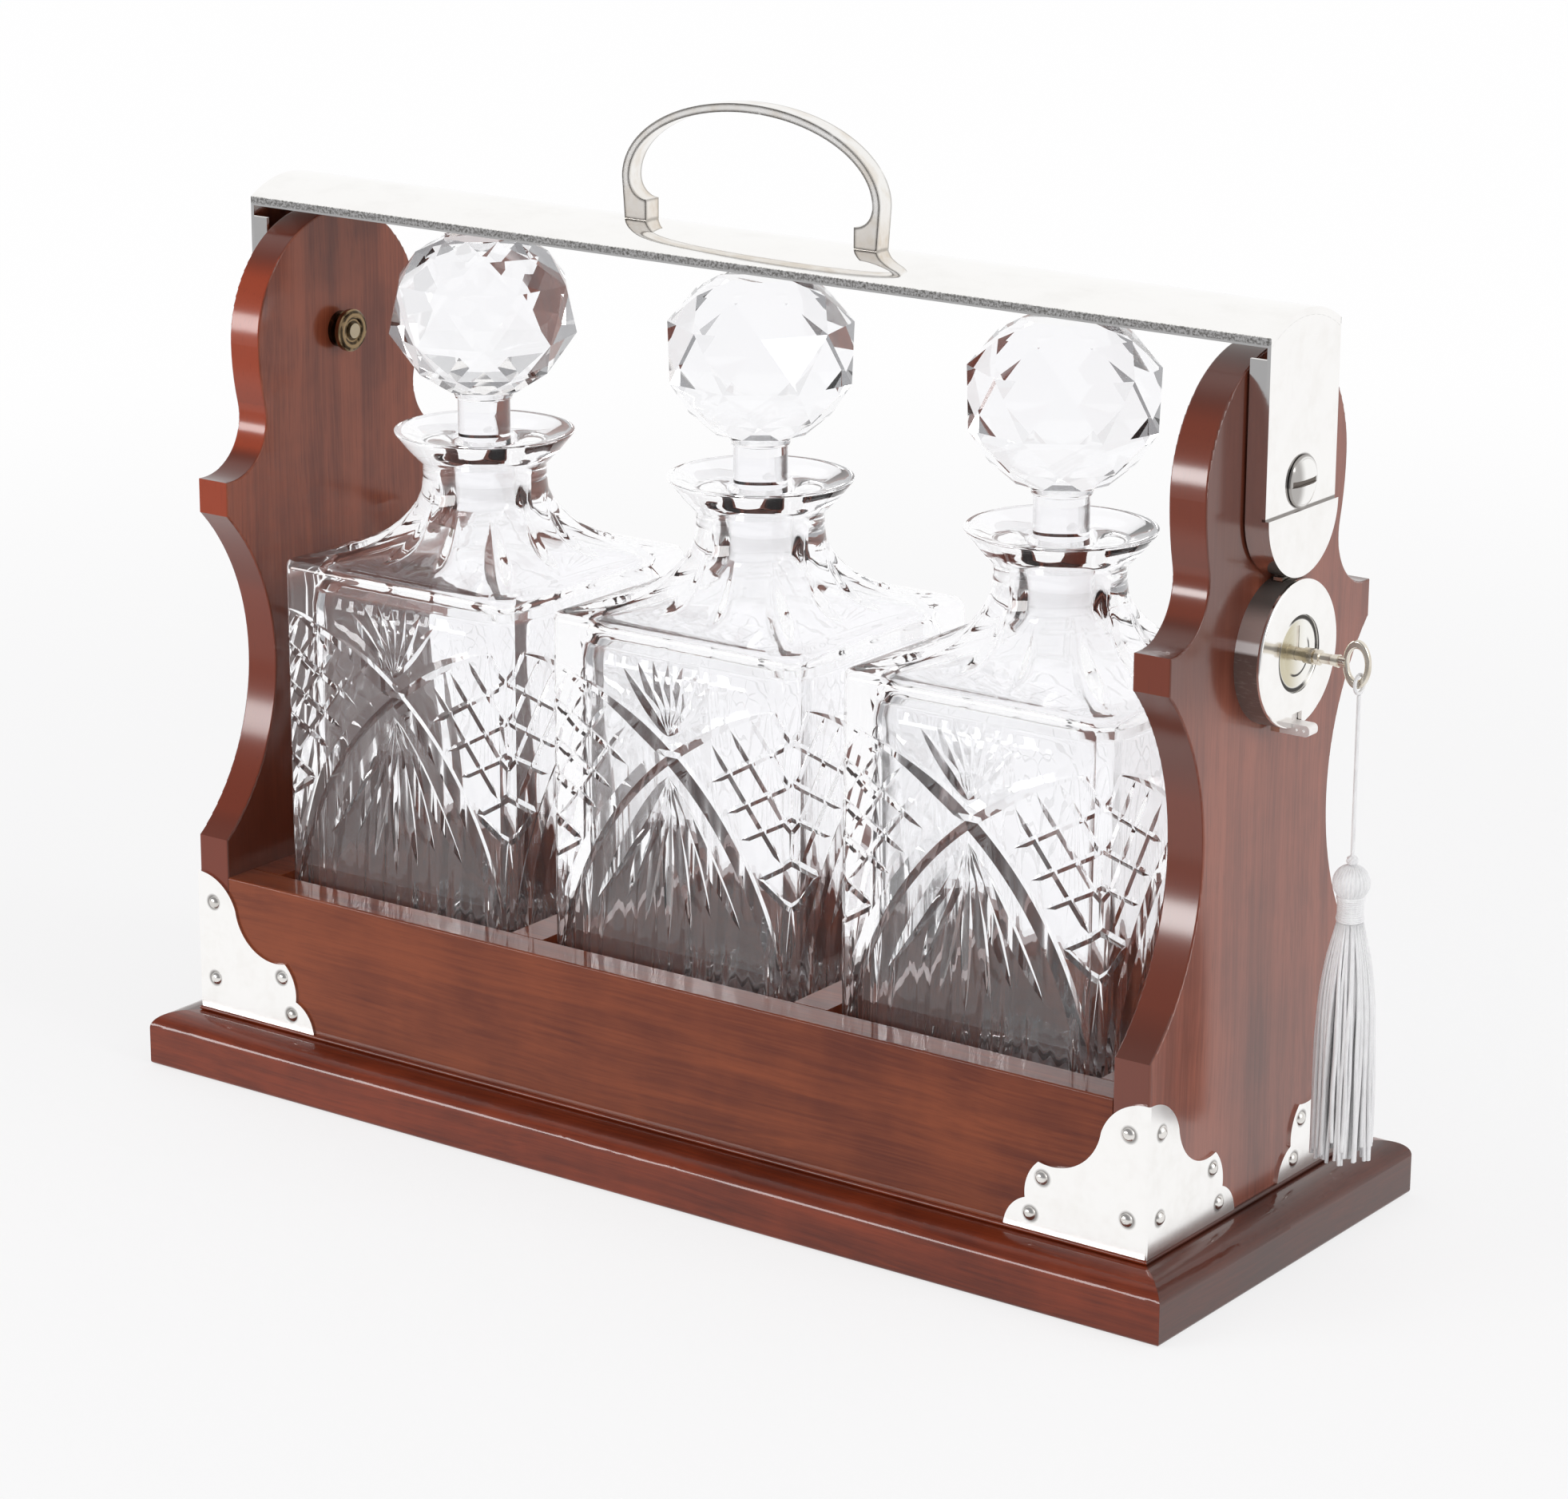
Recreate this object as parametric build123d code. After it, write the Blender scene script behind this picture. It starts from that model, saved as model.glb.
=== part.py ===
from build123d import *
import math
import os

# Antique three-bottle tantalus.  Units are millimetres.
# Frame: origin at the centre of the plinth's underside, +X towards the lock
# end, +Y towards the back, +Z up.

# --- case ------------------------------------------------------------------------------------
decanter_side = 96.4
decanter_play = 1.65          # between a decanter and a divider
well_play = 1.5               # between a decanter and the front and back boards
board = 12.6                  # thickness of the front and back boards
divider = 12.6
end_allowance = 18.25         # outer face of an end panel beyond its decanter's third
decanter_pitch = decanter_side + 2 * decanter_play + divider
case_length = 3 * decanter_pitch + 2 * end_allowance
case_depth = decanter_side + 2 * (well_play + board)
panel = 12.6                  # thickness of the end panels
rim_height = 47.6             # top of the boards above the foot of the case
floor_thickness = 6.0
arris = 0.6                   # softened edge of the polished wood

# --- plinth ----------------------------------------------------------------------------------
case_margin = 13.3            # plinth beyond the outer face of an end panel
board_margin = 13.2           # plinth beyond the face of a front or back board
plinth_length = case_length + 2 * case_margin
plinth_width = case_depth + 2 * board_margin
plinth_height = 18.5
plinth_face = 12.7            # plain upright part of the plinth's edge
plinth_moulding = 9.0         # width of the thumb moulding on top
plinth_arris = 1.2
baize_thickness = 1.0
baize_margin = 8.0
bead_thickness = 1.5          # slip moulding between plinth and case
bead_overhang = 1.2

# --- end panel outline (heights above the foot of the case) ----------------------------------
block_height = 60.6
shoulder_half = case_depth / 2 - 4.8
waist_half = case_depth / 2 - 26.3
neck_radius = 18.0
cheek_radius = 83.2
dome_radius = 40.3
dome_height = 224.0           # centre of the dome, and of the bar's pivots
shoulder_bottom = dome_height - 53.6
shoulder_top = dome_height - 42.2

# --- locking bar and its arms ----------------------------------------------------------------
bar_rise = 50.9               # crown of the curved bar above the pivots
bar_radius = 36.8             # outside of the bar's curve
bar_thickness = 2.3
bar_half = 20.0               # half the width of bar and arms
arm_reach = 7.6               # arm's outer face beyond the end panel
arm_plate = 1.2
arm_wall = 1.1
arm_gap = 0.8                 # running gap between arm and end panel
arm_drop = 8.4                # centre of the arm's round end below the pivots
arm_shadow_gap = 3.6          # gap between the bar and the arm's side walls
hasp_thickness = 1.2
swing_limit = 95.0            # degrees that the bar swings back

# --- pivots ----------------------------------------------------------------------------------
pivot_radius = 2.5
pivot_clearance = 0.05
pivot_head_radius = 7.8
pivot_head_height = 2.2
pivot_head_gap = 0.2
pivot_slot = 1.8
bush_radius = 5.0
nut_radius = 7.1
nut_length = 6.6

# --- carrying handle -------------------------------------------------------------------------
handle_offset = -2.6          # middle of the handle from the middle of the bar
handle_half = 49.4            # half the width over the loop
handle_rise = 40.4            # top of the loop above the crown of the bar
handle_spring = 13.3          # height of the loop's springing above the crown
handle_strap = 2.7
handle_width = 6.5
handle_foot = 8.4             # length of each square foot along the bar
handle_foot_height = 6.6
stud_radius = 1.8
stud_nut_radius = 3.6
stud_nut_height = 2.0

# --- lock ------------------------------------------------------------------------------------
lock_height = dome_height - 51.7   # centre of the lock above the foot of the case
lock_radius = 22.3
lock_depth = 8.9
lock_wall = 1.5
lock_plate = 1.2
barrel_radius = 11.7
barrel_recess = 0.6           # barrel's face behind the lock's face plate
barrel_clearance = 0.05
flange_radius = 13.0
flange_thickness = 2.4
bolt_width = 8.0
bolt_thickness = 3.0
bolt_back = 1.7               # bolt's back face beyond the end panel
bolt_travel = 2.5
bolt_gap = 0.3                # bolt tip below the arm when it is drawn back
bolt_side_gap = 0.15
key_turn_limit = 90.0
cam_pin_radius = 0.9
cam_clearance = 0.2
tab_width = 5.0
tab_height = 3.4
tab_reach = 14.7              # tip of the thumb tab beyond the end panel
tab_sink = 1.8                # underside of the tab below the lock's rim
shield_thickness = 0.8        # cover behind the face plate that rises with the tab
shield_gap = 0.2
shield_lap = 1.2
notch_clearance = 0.35
lock_screw_radius = 1.2
lock_screw_circle = 17.0
lock_screw_length = 7.0

# --- key -------------------------------------------------------------------------------------
key_shaft_radius = 2.0
key_clearance = 0.08
key_bit_height = 8.3          # top of the bit above the key's axis
key_bit_thickness = 1.5
key_bit_length = 1.8
key_seat = 6.4                # inner end of the key beyond the end panel
# turned outline of the key's shank: distance beyond the end panel, radius
key_turning = [(10.9, 2.0), (11.1, 2.4), (14.2, 2.4), (14.4, 1.7), (14.8, 1.7), (15.0, 2.3), (16.2, 2.3),
               (16.5, 1.6), (20.0, 1.6), (22.4, 2.0)]
bow_centre = 28.3             # centre of the bow beyond the end panel
bow_half_length = 4.5
bow_half_height = 7.3
bow_hole_half_length = 2.8
bow_hole_half_height = 4.75
bow_thickness = 1.8
key_pull_travel = 25.0

# --- tassel ----------------------------------------------------------------------------------
cord_diameter = 1.2
loop_radius = 2.75            # mean radius of the cord's loop round the bow
cord_offset = 1.0             # cord beyond the middle of the bow
cord_length = 51.6
tassel_head_radius = 5.6
tassel_band_radius = 4.4
tassel_band_length = 8.7
skirt_length = 75.0
# outline of the hanging threads: share of the length from the top, radius
skirt_shape = [(0.0, 4.2), (0.14, 6.5), (0.25, 7.7), (0.36, 8.4), (0.58, 9.1), (0.74, 9.5), (1.0, 9.7)]

# --- decanters and stoppers ------------------------------------------------------------------
decanter_chamfer = 3.8
decanter_body = dome_height - 73.6   # height of the square body
shoulder_round = 2.6          # rounding where the body turns into the shoulder
# the shoulder's hips: half width of the square, height above the base
shoulder_steps = [(31.1, decanter_body + 5.1), (19.7, decanter_body + 9.0)]
glass_wall = 6.0
glass_base = 10.0
neck_outer = 20.4
neck_top = decanter_body + 31.0   # top of the plain neck above the decanter's base
lip_height = neck_top + 11.0
lip_radius = 29.8
mouth_height = lip_height - 3.3   # bottom of the lip's shallow dish
mouth_radius = 14.0
neck_bore = 10.0
stem_clearance = 0.05
stem_depth = 27.0             # how far the stopper reaches below the lip
ball_lift = 14.1              # underside of the ball above the lip
ball_collar = 4.0             # height of the tapered collar under the ball
collar_radius = 10.9          # top of the collar, where it meets the ball
stem_visible_radius = 8.6
stopper_sides = 8
# rings of the cut ball: radius, and height above the ball's underside
ball_rings = [(15.0, 0.0), (22.3, 5.6), (30.6, 17.5), (29.2, 35.0), (21.5, 44.5), (13.0, 49.6)]
stopper_turns = {"left": -5.3, "middle": 13.7, "right": 10.0}
decanter_lift_travel = 6.0

# --- corner mounts ---------------------------------------------------------------------------
mount_thickness = 0.8
mount_height = 48.0
mount_reach = 49.5
mount_crest_x = 9.6           # point on the round above the scoop
mount_crest_z = 45.0
scoop_x = 33.0                # centre and radius of the leaf's scoop
scoop_z = 39.0
scoop_radius = 17.3
mount_lobe_x = 41.2           # point on the lobe under the scoop
mount_lobe_z = 17.0
notch_x = 42.0
notch_z = 10.0
mount_toe_x = 47.3            # point on the toe by the plinth
mount_toe_z = 6.0
pin_head_radius = 2.2
pin_head_height = 1.1
pin_shank_radius = 0.7
pin_shank_length = 6.0
pin_places = [(6.5, 38.0), (6.5, 11.2), (36.3, 17.4), (40.3, 5.2)]

# --- worked out from the values above --------------------------------------------------------
foot = plinth_height + bead_thickness          # height of the foot of the case
end_x = case_length / 2                        # outer face of an end panel
inner_x = end_x - panel
face_y = case_depth / 2
well_y = face_y - board
divider_x = decanter_pitch / 2
pivot_z = foot + dome_height
lock_z = foot + lock_height
floor_z = foot + floor_thickness
arm_x = end_x + arm_reach
arm_end_z = pivot_z - arm_drop
arm_tip_z = arm_end_z - bar_half
crown_z = pivot_z + bar_rise
bar_axis_z = crown_z - bar_radius              # axis of the bar's curve
lock_face_x = end_x + lock_depth
bow_x = end_x + bow_centre
cord_x = bow_x + cord_offset
lip_z = floor_z + lip_height
ball_z = lip_z + ball_lift


def block(x, y, z):
    """A box given by its lowest and highest x, y and z."""
    size = [hi - lo for lo, hi in (x, y, z)]
    centre = [(hi + lo) / 2 for lo, hi in (x, y, z)]
    return Pos(*centre) * Box(*size)


def rod_x(x0, x1, radius, y=0.0, z=0.0):
    """A round bar along X."""
    return Pos((x0 + x1) / 2, y, z) * Rot(0, 90, 0) * Cylinder(radius, abs(x1 - x0))


def rod_z(z0, z1, radius, x=0.0, y=0.0):
    """A round bar along Z."""
    return Pos(x, y, (z0 + z1) / 2) * Cylinder(radius, z1 - z0)


def turned_z(points, x=0.0, y=0.0):
    """A turned solid about a vertical axis, from a closed list of (radius, z)."""
    outline = Plane.XZ * make_face(Polyline(*points, close=True))
    return Pos(x, y, 0) * revolve(outline, Axis.Z)


def turned_x(points, y=0.0, z=0.0):
    """A turned solid about an axis along X, from a closed list of (x, radius)."""
    outline = Plane.XZ * make_face(Polyline(*points, close=True))
    return Pos(0, y, z) * revolve(outline, Axis.X)


def mirrored(solid, side):
    """The solid itself for side 1, its mirror image across X for side -1."""
    return solid if side > 0 else mirror(solid, about=Plane.YZ)


# --- plinth and case -------------------------------------------------------------------------

def plinth_section(half):
    """Section of the plinth: upright faces under a thumb moulding a quarter of an ellipse round."""
    flat = half - plinth_moulding
    rise = plinth_height - plinth_face
    return make_face([
        Line((-half, 0), (half, 0)),
        Line((half, 0), (half, plinth_face)),
        EllipticalCenterArc((flat, plinth_face), plinth_moulding, rise, 0, arc_size=90),
        Line((flat, plinth_height), (-flat, plinth_height)),
        EllipticalCenterArc((-flat, plinth_face), plinth_moulding, rise, 90, arc_size=90),
        Line((-half, plinth_face), (-half, 0)),
    ])


def make_plinth():
    """Solid plinth, mitred at its corners, with a recess below for the baize."""
    along = extrude(Plane.XZ * plinth_section(plinth_length / 2), amount=plinth_width, both=True)
    across = extrude(Plane.YZ * plinth_section(plinth_width / 2), amount=plinth_length, both=True)
    body = along & across
    body = fillet(body.faces().sort_by(Axis.Z)[0].edges(), plinth_arris)
    return body - make_baize()


def make_baize():
    """Thin baize sheet let into the underside."""
    return block((-plinth_length / 2 + baize_margin, plinth_length / 2 - baize_margin),
                 (-plinth_width / 2 + baize_margin, plinth_width / 2 - baize_margin),
                 (0, baize_thickness))


def make_foot_bead():
    """Half-round slip moulding that the case stands on."""
    slab = block((-end_x - bead_overhang, end_x + bead_overhang),
                 (-face_y - bead_overhang, face_y + bead_overhang), (plinth_height, foot))
    rim = slab.edges().filter_by(Plane.XY)
    return fillet(rim, bead_thickness * 0.48)


def make_board(side):
    """Front (-1) or back (+1) board between the end panels."""
    ys = sorted((side * face_y, side * well_y))
    solid = block((-inner_x, inner_x), ys, (foot, foot + rim_height))
    long_top = solid.faces().sort_by(Axis.Z)[-1].edges().filter_by(Axis.X)
    return fillet(long_top, arris)


def make_floor():
    """Floor of the three wells."""
    return block((-inner_x, inner_x), (-well_y, well_y), (foot, floor_z))


def make_divider(side):
    """Partition between two wells."""
    centre = side * divider_x
    return block((centre - divider / 2, centre + divider / 2), (-well_y, well_y),
                 (floor_z, foot + rim_height))


def make_end_liner(side):
    """Packing board that brings an outer well to the width of the middle one."""
    well = decanter_pitch - divider
    start = decanter_pitch + well / 2
    return mirrored(block((start, inner_x), (-well_y, well_y), (floor_z, foot + rim_height)), side)


def panel_outline():
    """Edges of the back half of the end panel's outline, in the panel's (y, z) plane."""
    waist_z = foot + (block_height + shoulder_bottom) / 2
    cheek_y = dome_radius - cheek_radius
    neck_z = foot + shoulder_top + neck_radius
    reach = cheek_radius + neck_radius
    drop = pivot_z - neck_z
    neck_y = cheek_y + math.sqrt(reach ** 2 - drop ** 2)
    share = cheek_radius / reach
    join = (cheek_y + (neck_y - cheek_y) * share, pivot_z - drop * share)
    neck_mid = math.radians(225)
    cheek_mid = math.asin(drop / reach) / 2
    dome_mid = math.radians(45)
    return [
        Line((0, foot), (face_y, foot)),
        Line((face_y, foot), (face_y, foot + block_height)),
        ThreePointArc((face_y, foot + block_height), (waist_half, waist_z),
                      (shoulder_half, foot + shoulder_bottom)),
        Line((shoulder_half, foot + shoulder_bottom), (shoulder_half, foot + shoulder_top)),
        Line((shoulder_half, foot + shoulder_top), (neck_y, foot + shoulder_top)),
        ThreePointArc((neck_y, foot + shoulder_top),
                      (neck_y + neck_radius * math.cos(neck_mid),
                       neck_z + neck_radius * math.sin(neck_mid)), join),
        ThreePointArc(join, (cheek_y + cheek_radius * math.cos(cheek_mid),
                             pivot_z - cheek_radius * math.sin(cheek_mid)), (dome_radius, pivot_z)),
        ThreePointArc((dome_radius, pivot_z),
                      (dome_radius * math.cos(dome_mid), pivot_z + dome_radius * math.sin(dome_mid)),
                      (0, pivot_z + dome_radius)),
    ]


def make_end_panel(side):
    """Shaped end panel with softened edges, bored for the bar's pivot."""
    half = panel_outline()
    edges = half + [mirror(edge, about=Plane.YZ) for edge in half]
    outline = Plane.YZ * make_face(edges)
    solid = Pos(inner_x, 0, 0) * extrude(outline, amount=panel)
    outer = solid.faces().sort_by(Axis.X)
    rim = outer[0].edges() + outer[-1].edges()
    rim = rim.filter_by(lambda edge: edge.center().Z > foot + 1)
    solid = fillet(rim, arris)
    solid -= rod_x(inner_x - 1, end_x + 1, pivot_radius, z=pivot_z)
    return mirrored(solid, side)


def make_plinth_screws():
    """Six countersunk screws up through the plinth into the case."""
    head = 4.2
    length = 26.0
    shank = 1.9
    screws = []
    for x in (-inner_x + 40, 0, inner_x - 40):
        for y in (-face_y + board / 2, face_y - board / 2):
            screws.append(turned_z([(0, baize_thickness), (head, baize_thickness),
                                    (shank, baize_thickness + head - shank),
                                    (shank, baize_thickness + length),
                                    (0, baize_thickness + length)], x, y))
    return screws


# --- corner mounts ---------------------------------------------------------------------------

def mount_leaf():
    """Shaped outline of one leaf of a corner mount: (across the face, up it)."""
    def on_scoop(degrees):
        angle = math.radians(degrees)
        return (scoop_x + scoop_radius * math.cos(angle), scoop_z + scoop_radius * math.sin(angle))

    shoulder, cusp, notch = on_scoop(188), on_scoop(285), (notch_x, notch_z)
    return make_face([
        Line((0, 0), (0, mount_height)),
        ThreePointArc((0, mount_height), (mount_crest_x, mount_crest_z), shoulder),
        ThreePointArc(shoulder, on_scoop(232), cusp),
        ThreePointArc(cusp, (mount_lobe_x, mount_lobe_z), notch),
        ThreePointArc(notch, (mount_toe_x, mount_toe_z), (mount_reach, 0)),
        Line((mount_reach, 0), (0, 0)),
    ])


def make_corner_mount():
    """Silver plate bent round the right back corner of the case."""
    leaf = mirror(mount_leaf(), about=Plane.YZ)
    corner = Pos(end_x, face_y, foot)
    back = extrude(corner * (Plane.XZ * leaf), amount=mount_thickness, dir=(0, 1, 0))
    end = extrude(corner * (Plane.YZ * leaf), amount=mount_thickness, dir=(1, 0, 0))
    bend = block((end_x, end_x + mount_thickness), (face_y, face_y + mount_thickness),
                 (foot, foot + mount_height))
    outer_edge = bend.edges().filter_by(Axis.Z).sort_by(lambda edge: edge.center().X + edge.center().Y)
    return back + end + fillet(outer_edge[-1], mount_thickness * 0.8)


def make_mount_pins():
    """Dome-headed pins of the right back corner mount."""
    outline = make_face([
        Line((0, -pin_shank_length), (0, pin_head_height)),
        ThreePointArc((0, pin_head_height), (pin_head_radius * 0.72, pin_head_height * 0.66),
                      (pin_head_radius, 0)),
        Line((pin_head_radius, 0), (pin_shank_radius, 0)),
        Line((pin_shank_radius, 0), (pin_shank_radius, -pin_shank_length)),
        Line((pin_shank_radius, -pin_shank_length), (0, -pin_shank_length)),
    ])
    pin = revolve(Plane.XZ * outline, Axis.Z)
    pins = []
    for across, up in pin_places:
        pins.append(Pos(end_x - across, face_y + mount_thickness, foot + up) * Rot(-90, 0, 0) * pin)
        pins.append(Pos(end_x + mount_thickness, face_y - across, foot + up) * Rot(0, 90, 0) * pin)
    return pins


def at_corner(solid, side_x, side_y):
    """Mirror a solid made for the right back corner to another corner."""
    solid = mirrored(solid, side_x)
    return solid if side_y > 0 else mirror(solid, about=Plane.XZ)


# --- locking bar, arms and pivots ------------------------------------------------------------

def make_locking_bar():
    """Crowned bar over the stoppers."""
    ring = Circle(bar_radius) - Circle(bar_radius - bar_thickness)
    strip = ring & (Pos(0, bar_radius) * Rectangle(2 * bar_half, 2 * bar_radius))
    bar = Pos(-arm_x, 0, bar_axis_z) * extrude(Plane.YZ * strip, amount=2 * arm_x)
    for foot_x in handle_feet_x():
        bar -= rod_z(bar_axis_z, crown_z + 1, stud_radius, x=foot_x)
    return bar


def arm_outline(inset):
    """Outline of an arm in the (y, z) plane, drawn in by a wall's thickness."""
    half = bar_half - inset
    sides = Pos(0, (crown_z + arm_end_z) / 2) * Rectangle(2 * half, crown_z - arm_end_z)
    return Pos(0, arm_end_z) * Circle(half) + sides


def make_arm(side):
    """Flat outer plate of an arm, rounded at its foot and fitted under the bar."""
    under_bar = Pos(0, bar_axis_z) * Circle(bar_radius - bar_thickness)
    under_bar += Pos(0, bar_axis_z - bar_radius) * Rectangle(2 * bar_radius, 2 * bar_radius)
    plate = extrude(Plane.YZ * (arm_outline(0) & under_bar), amount=arm_plate)
    plate = Pos(arm_x - arm_plate, 0, 0) * plate
    return mirrored(plate - pivot_bore(), side)


def make_arm_rim(side):
    """Side wall of an arm, open towards the end panel; the lock's arm is slotted for the bolt."""
    depth = arm_reach - arm_gap - arm_plate
    corner_drop = math.sqrt((bar_radius - bar_thickness) ** 2 - bar_half ** 2)
    top = bar_axis_z + corner_drop - arm_shadow_gap
    wall = Pos(end_x + arm_gap, 0, 0) * extrude(
        Plane.YZ * (arm_outline(0) - arm_outline(arm_wall)), amount=depth)
    wall -= block((end_x, arm_x), (-2 * bar_half, 2 * bar_half), (top, crown_z + 1))
    if side > 0:
        wall -= bolt_slot(arm_tip_z - 1, arm_tip_z + bolt_travel + 1)
    return mirrored(wall, side)


def make_hasp_plate():
    """Raised half-round plate on the foot of the lock's arm."""
    half_round = Circle(bar_half) & (Pos(0, -bar_half) * Rectangle(2 * bar_half, 2 * bar_half))
    return Pos(arm_x, 0, arm_end_z) * extrude(Plane.YZ * half_round, amount=hasp_thickness)


def pivot_bore():
    """Hole for a pivot screw through an arm."""
    return rod_x(end_x, arm_x + 1, pivot_radius + pivot_clearance, z=pivot_z)


def make_pivot_bush(side):
    """Bearing tube inside an arm."""
    tube = rod_x(end_x + arm_gap, arm_x - arm_plate, bush_radius, z=pivot_z)
    return mirrored(tube - pivot_bore(), side)


def make_pivot_screw(side):
    """Domed slotted screw through the arm and the end panel."""
    base = arm_x + pivot_head_gap
    dome = Plane.XZ * make_face([
        Line((base, 0), (base + pivot_head_height, 0)),
        ThreePointArc((base + pivot_head_height, 0),
                      (base + pivot_head_height * 0.78, pivot_head_radius * 0.66),
                      (base + pivot_head_height * 0.3, pivot_head_radius)),
        Line((base + pivot_head_height * 0.3, pivot_head_radius), (base, pivot_head_radius)),
        Line((base, pivot_head_radius), (base, 0)),
    ])
    head = Pos(0, 0, pivot_z) * revolve(dome, Axis.X)
    slot = block((base + pivot_head_height * 0.4, arm_x + 5), (-bar_half, bar_half),
                 (pivot_z - pivot_slot / 2, pivot_z + pivot_slot / 2))
    shank = rod_x(inner_x - nut_length, base, pivot_radius, z=pivot_z)
    return mirrored(head - slot + shank, side)


def make_pivot_nut(side):
    """Two-step turned nut that holds a pivot screw on the panel's inner face."""
    steps = [(0, pivot_radius), (0, 0.86), (0.24, 0.86), (0.3, 0.64), (0.45, 0.64), (0.5, 0.94),
             (0.6, 1.0), (0.82, 1.0), (0.94, 0.88), (0.94, 0.6), (0.86, 0.54), (0.86, pivot_radius)]
    points = []
    for along, share in steps:
        radius = share if share == pivot_radius else share * nut_radius
        points.append((inner_x - along * nut_length, radius))
    return mirrored(turned_x(points, z=pivot_z), side)


# --- carrying handle -------------------------------------------------------------------------

def handle_feet_x():
    """Middles of the two handle feet along the bar."""
    reach = handle_half - 1.1 - handle_foot / 2
    return handle_offset - reach, handle_offset + reach


def make_handle():
    """Fixed strap loop with square feet that sit on the crown of the bar."""
    rise = handle_rise - handle_spring
    outer = Ellipse(handle_half, rise)
    inner = Ellipse(handle_half - handle_strap, rise - handle_strap)
    above = Pos(0, handle_rise) * Rectangle(4 * handle_half, 2 * handle_rise)
    loop = (outer - inner) & above
    foot_out = handle_half - 1.1
    foot_in = foot_out - handle_foot
    spring = handle_spring
    scoop_end = foot_in, handle_foot_height - spring
    knee_in = handle_half - handle_strap
    middle = (foot_in + (knee_in - foot_in) * math.sqrt(0.5),
              (handle_foot_height - spring) * math.sqrt(0.5))
    leg = make_face([
        Line((handle_half, 0), (knee_in, 0)),
        ThreePointArc((knee_in, 0), middle, scoop_end),
        Line(scoop_end, (foot_in, -spring - 1)),
        Line((foot_in, -spring - 1), (foot_out, -spring - 1)),
        Line((foot_out, -spring - 1), (handle_half, 0)),
    ])
    face = loop + leg + mirror(leg, about=Plane.YZ)
    solid = extrude(Plane.XZ * face, amount=handle_width / 2, both=True)
    solid = Pos(handle_offset, 0, crown_z + spring) * solid
    return solid - rod_x(-2 * handle_half, 2 * handle_half, bar_radius, z=bar_axis_z)


def make_handle_studs():
    """Threaded studs and nuts under the bar that hold the handle's feet."""
    under = crown_z - bar_thickness
    below_bar = rod_x(-2 * handle_half, 2 * handle_half, bar_radius - bar_thickness, z=bar_axis_z)
    studs = []
    for x in handle_feet_x():
        stud = rod_z(under - stud_nut_height - 0.8, crown_z + handle_foot_height / 2, stud_radius, x=x)
        nut = rod_z(under - stud_nut_height, under, stud_nut_radius, x=x)
        studs.append(stud + (nut & below_bar))
    return studs


# --- lock ------------------------------------------------------------------------------------

def bolt_slot(low, high):
    """Clearance for the bolt between two heights."""
    gap = notch_clearance
    return block((end_x + bolt_back - gap, end_x + bolt_back + bolt_thickness + gap),
                 (-bolt_width / 2 - gap, bolt_width / 2 + gap), (low, high))


def tab_notch():
    """Clearance for the thumb tab in the lower rim of the lock."""
    top = lock_z - lock_radius + tab_height + bolt_travel - tab_sink + notch_clearance
    return block((end_x + bolt_back - notch_clearance, lock_face_x + 1),
                 (-tab_width / 2 - notch_clearance, tab_width / 2 + notch_clearance),
                 (lock_z - lock_radius - 1, top))


def make_lock_drum():
    """Silver cylinder wall of the lock, fixed to the end panel."""
    wall = rod_x(end_x, lock_face_x - lock_plate, lock_radius, z=lock_z)
    wall -= rod_x(end_x - 1, lock_face_x, lock_radius - lock_wall, z=lock_z)
    return wall - bolt_slot(lock_z + lock_radius / 2, lock_z + lock_radius + 1) - tab_notch()


def make_lock_face():
    """Polished face plate with the hole for the barrel."""
    plate = rod_x(lock_face_x - lock_plate, lock_face_x, lock_radius, z=lock_z)
    plate = fillet(plate.faces().sort_by(Axis.X)[-1].edges(), lock_plate * 0.5)
    plate -= rod_x(end_x, lock_face_x + 1, barrel_radius + barrel_clearance, z=lock_z)
    return plate - tab_notch()


def make_lock_base():
    """Disc that closes the lock against the end panel."""
    return rod_x(end_x, end_x + lock_plate, lock_radius - lock_wall, z=lock_z)


def make_lock_screws():
    """Four round-headed screws through the base plate."""
    screws = []
    reach = lock_screw_circle * math.sqrt(0.5)
    for y in (-reach, reach):
        for z in (-reach, reach):
            shank = rod_x(end_x - lock_screw_length, end_x + lock_plate, lock_screw_radius, y, lock_z + z)
            head = rod_x(end_x + lock_plate, end_x + lock_plate + 1, 2 * lock_screw_radius, y, lock_z + z)
            screws.append(shank + head)
    return screws


def make_bolt_guides():
    """Four blocks on the base plate that guide the bolt."""
    depth = (end_x + lock_plate, end_x + bolt_back + bolt_thickness)
    near = bolt_width / 2 + bolt_side_gap
    far = near + 2.3
    guides = []
    for ys in ((-far, -near), (near, far)):
        guides.append(block(depth, ys, (lock_z + 13.5, lock_z + 18.5)))
        guides.append(block(depth, ys, (lock_z - 13.0, lock_z - 8.0)))
    return guides


def make_lock_bolt():
    """Flat bolt that rises into the arm, with a slot for the barrel's cam pin."""
    depth = (end_x + bolt_back, end_x + bolt_back + bolt_thickness)
    waist_z = lock_z - lock_radius + bolt_width
    bolt = block(depth, (-bolt_width / 2, bolt_width / 2), (waist_z, arm_tip_z - bolt_gap))
    bolt += block(depth, (-tab_width / 2, tab_width / 2), (tab_base_z(), waist_z))
    throw = cam_throw()
    reach = cam_pin_radius + cam_clearance
    middle = lock_z - bolt_travel / 2
    return bolt - block((end_x, lock_face_x), (throw * math.sqrt(0.5) - reach - 0.1, throw + reach + 0.1),
                        (middle - reach, middle + reach))


def cam_throw():
    """Distance of the cam pin from the key's axis: a quarter turn lifts the bolt by its travel."""
    return bolt_travel / (2 * math.sin(math.radians(key_turn_limit / 2)))


def tab_base_z():
    """Underside of the thumb tab."""
    return lock_z - lock_radius - tab_sink


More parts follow.
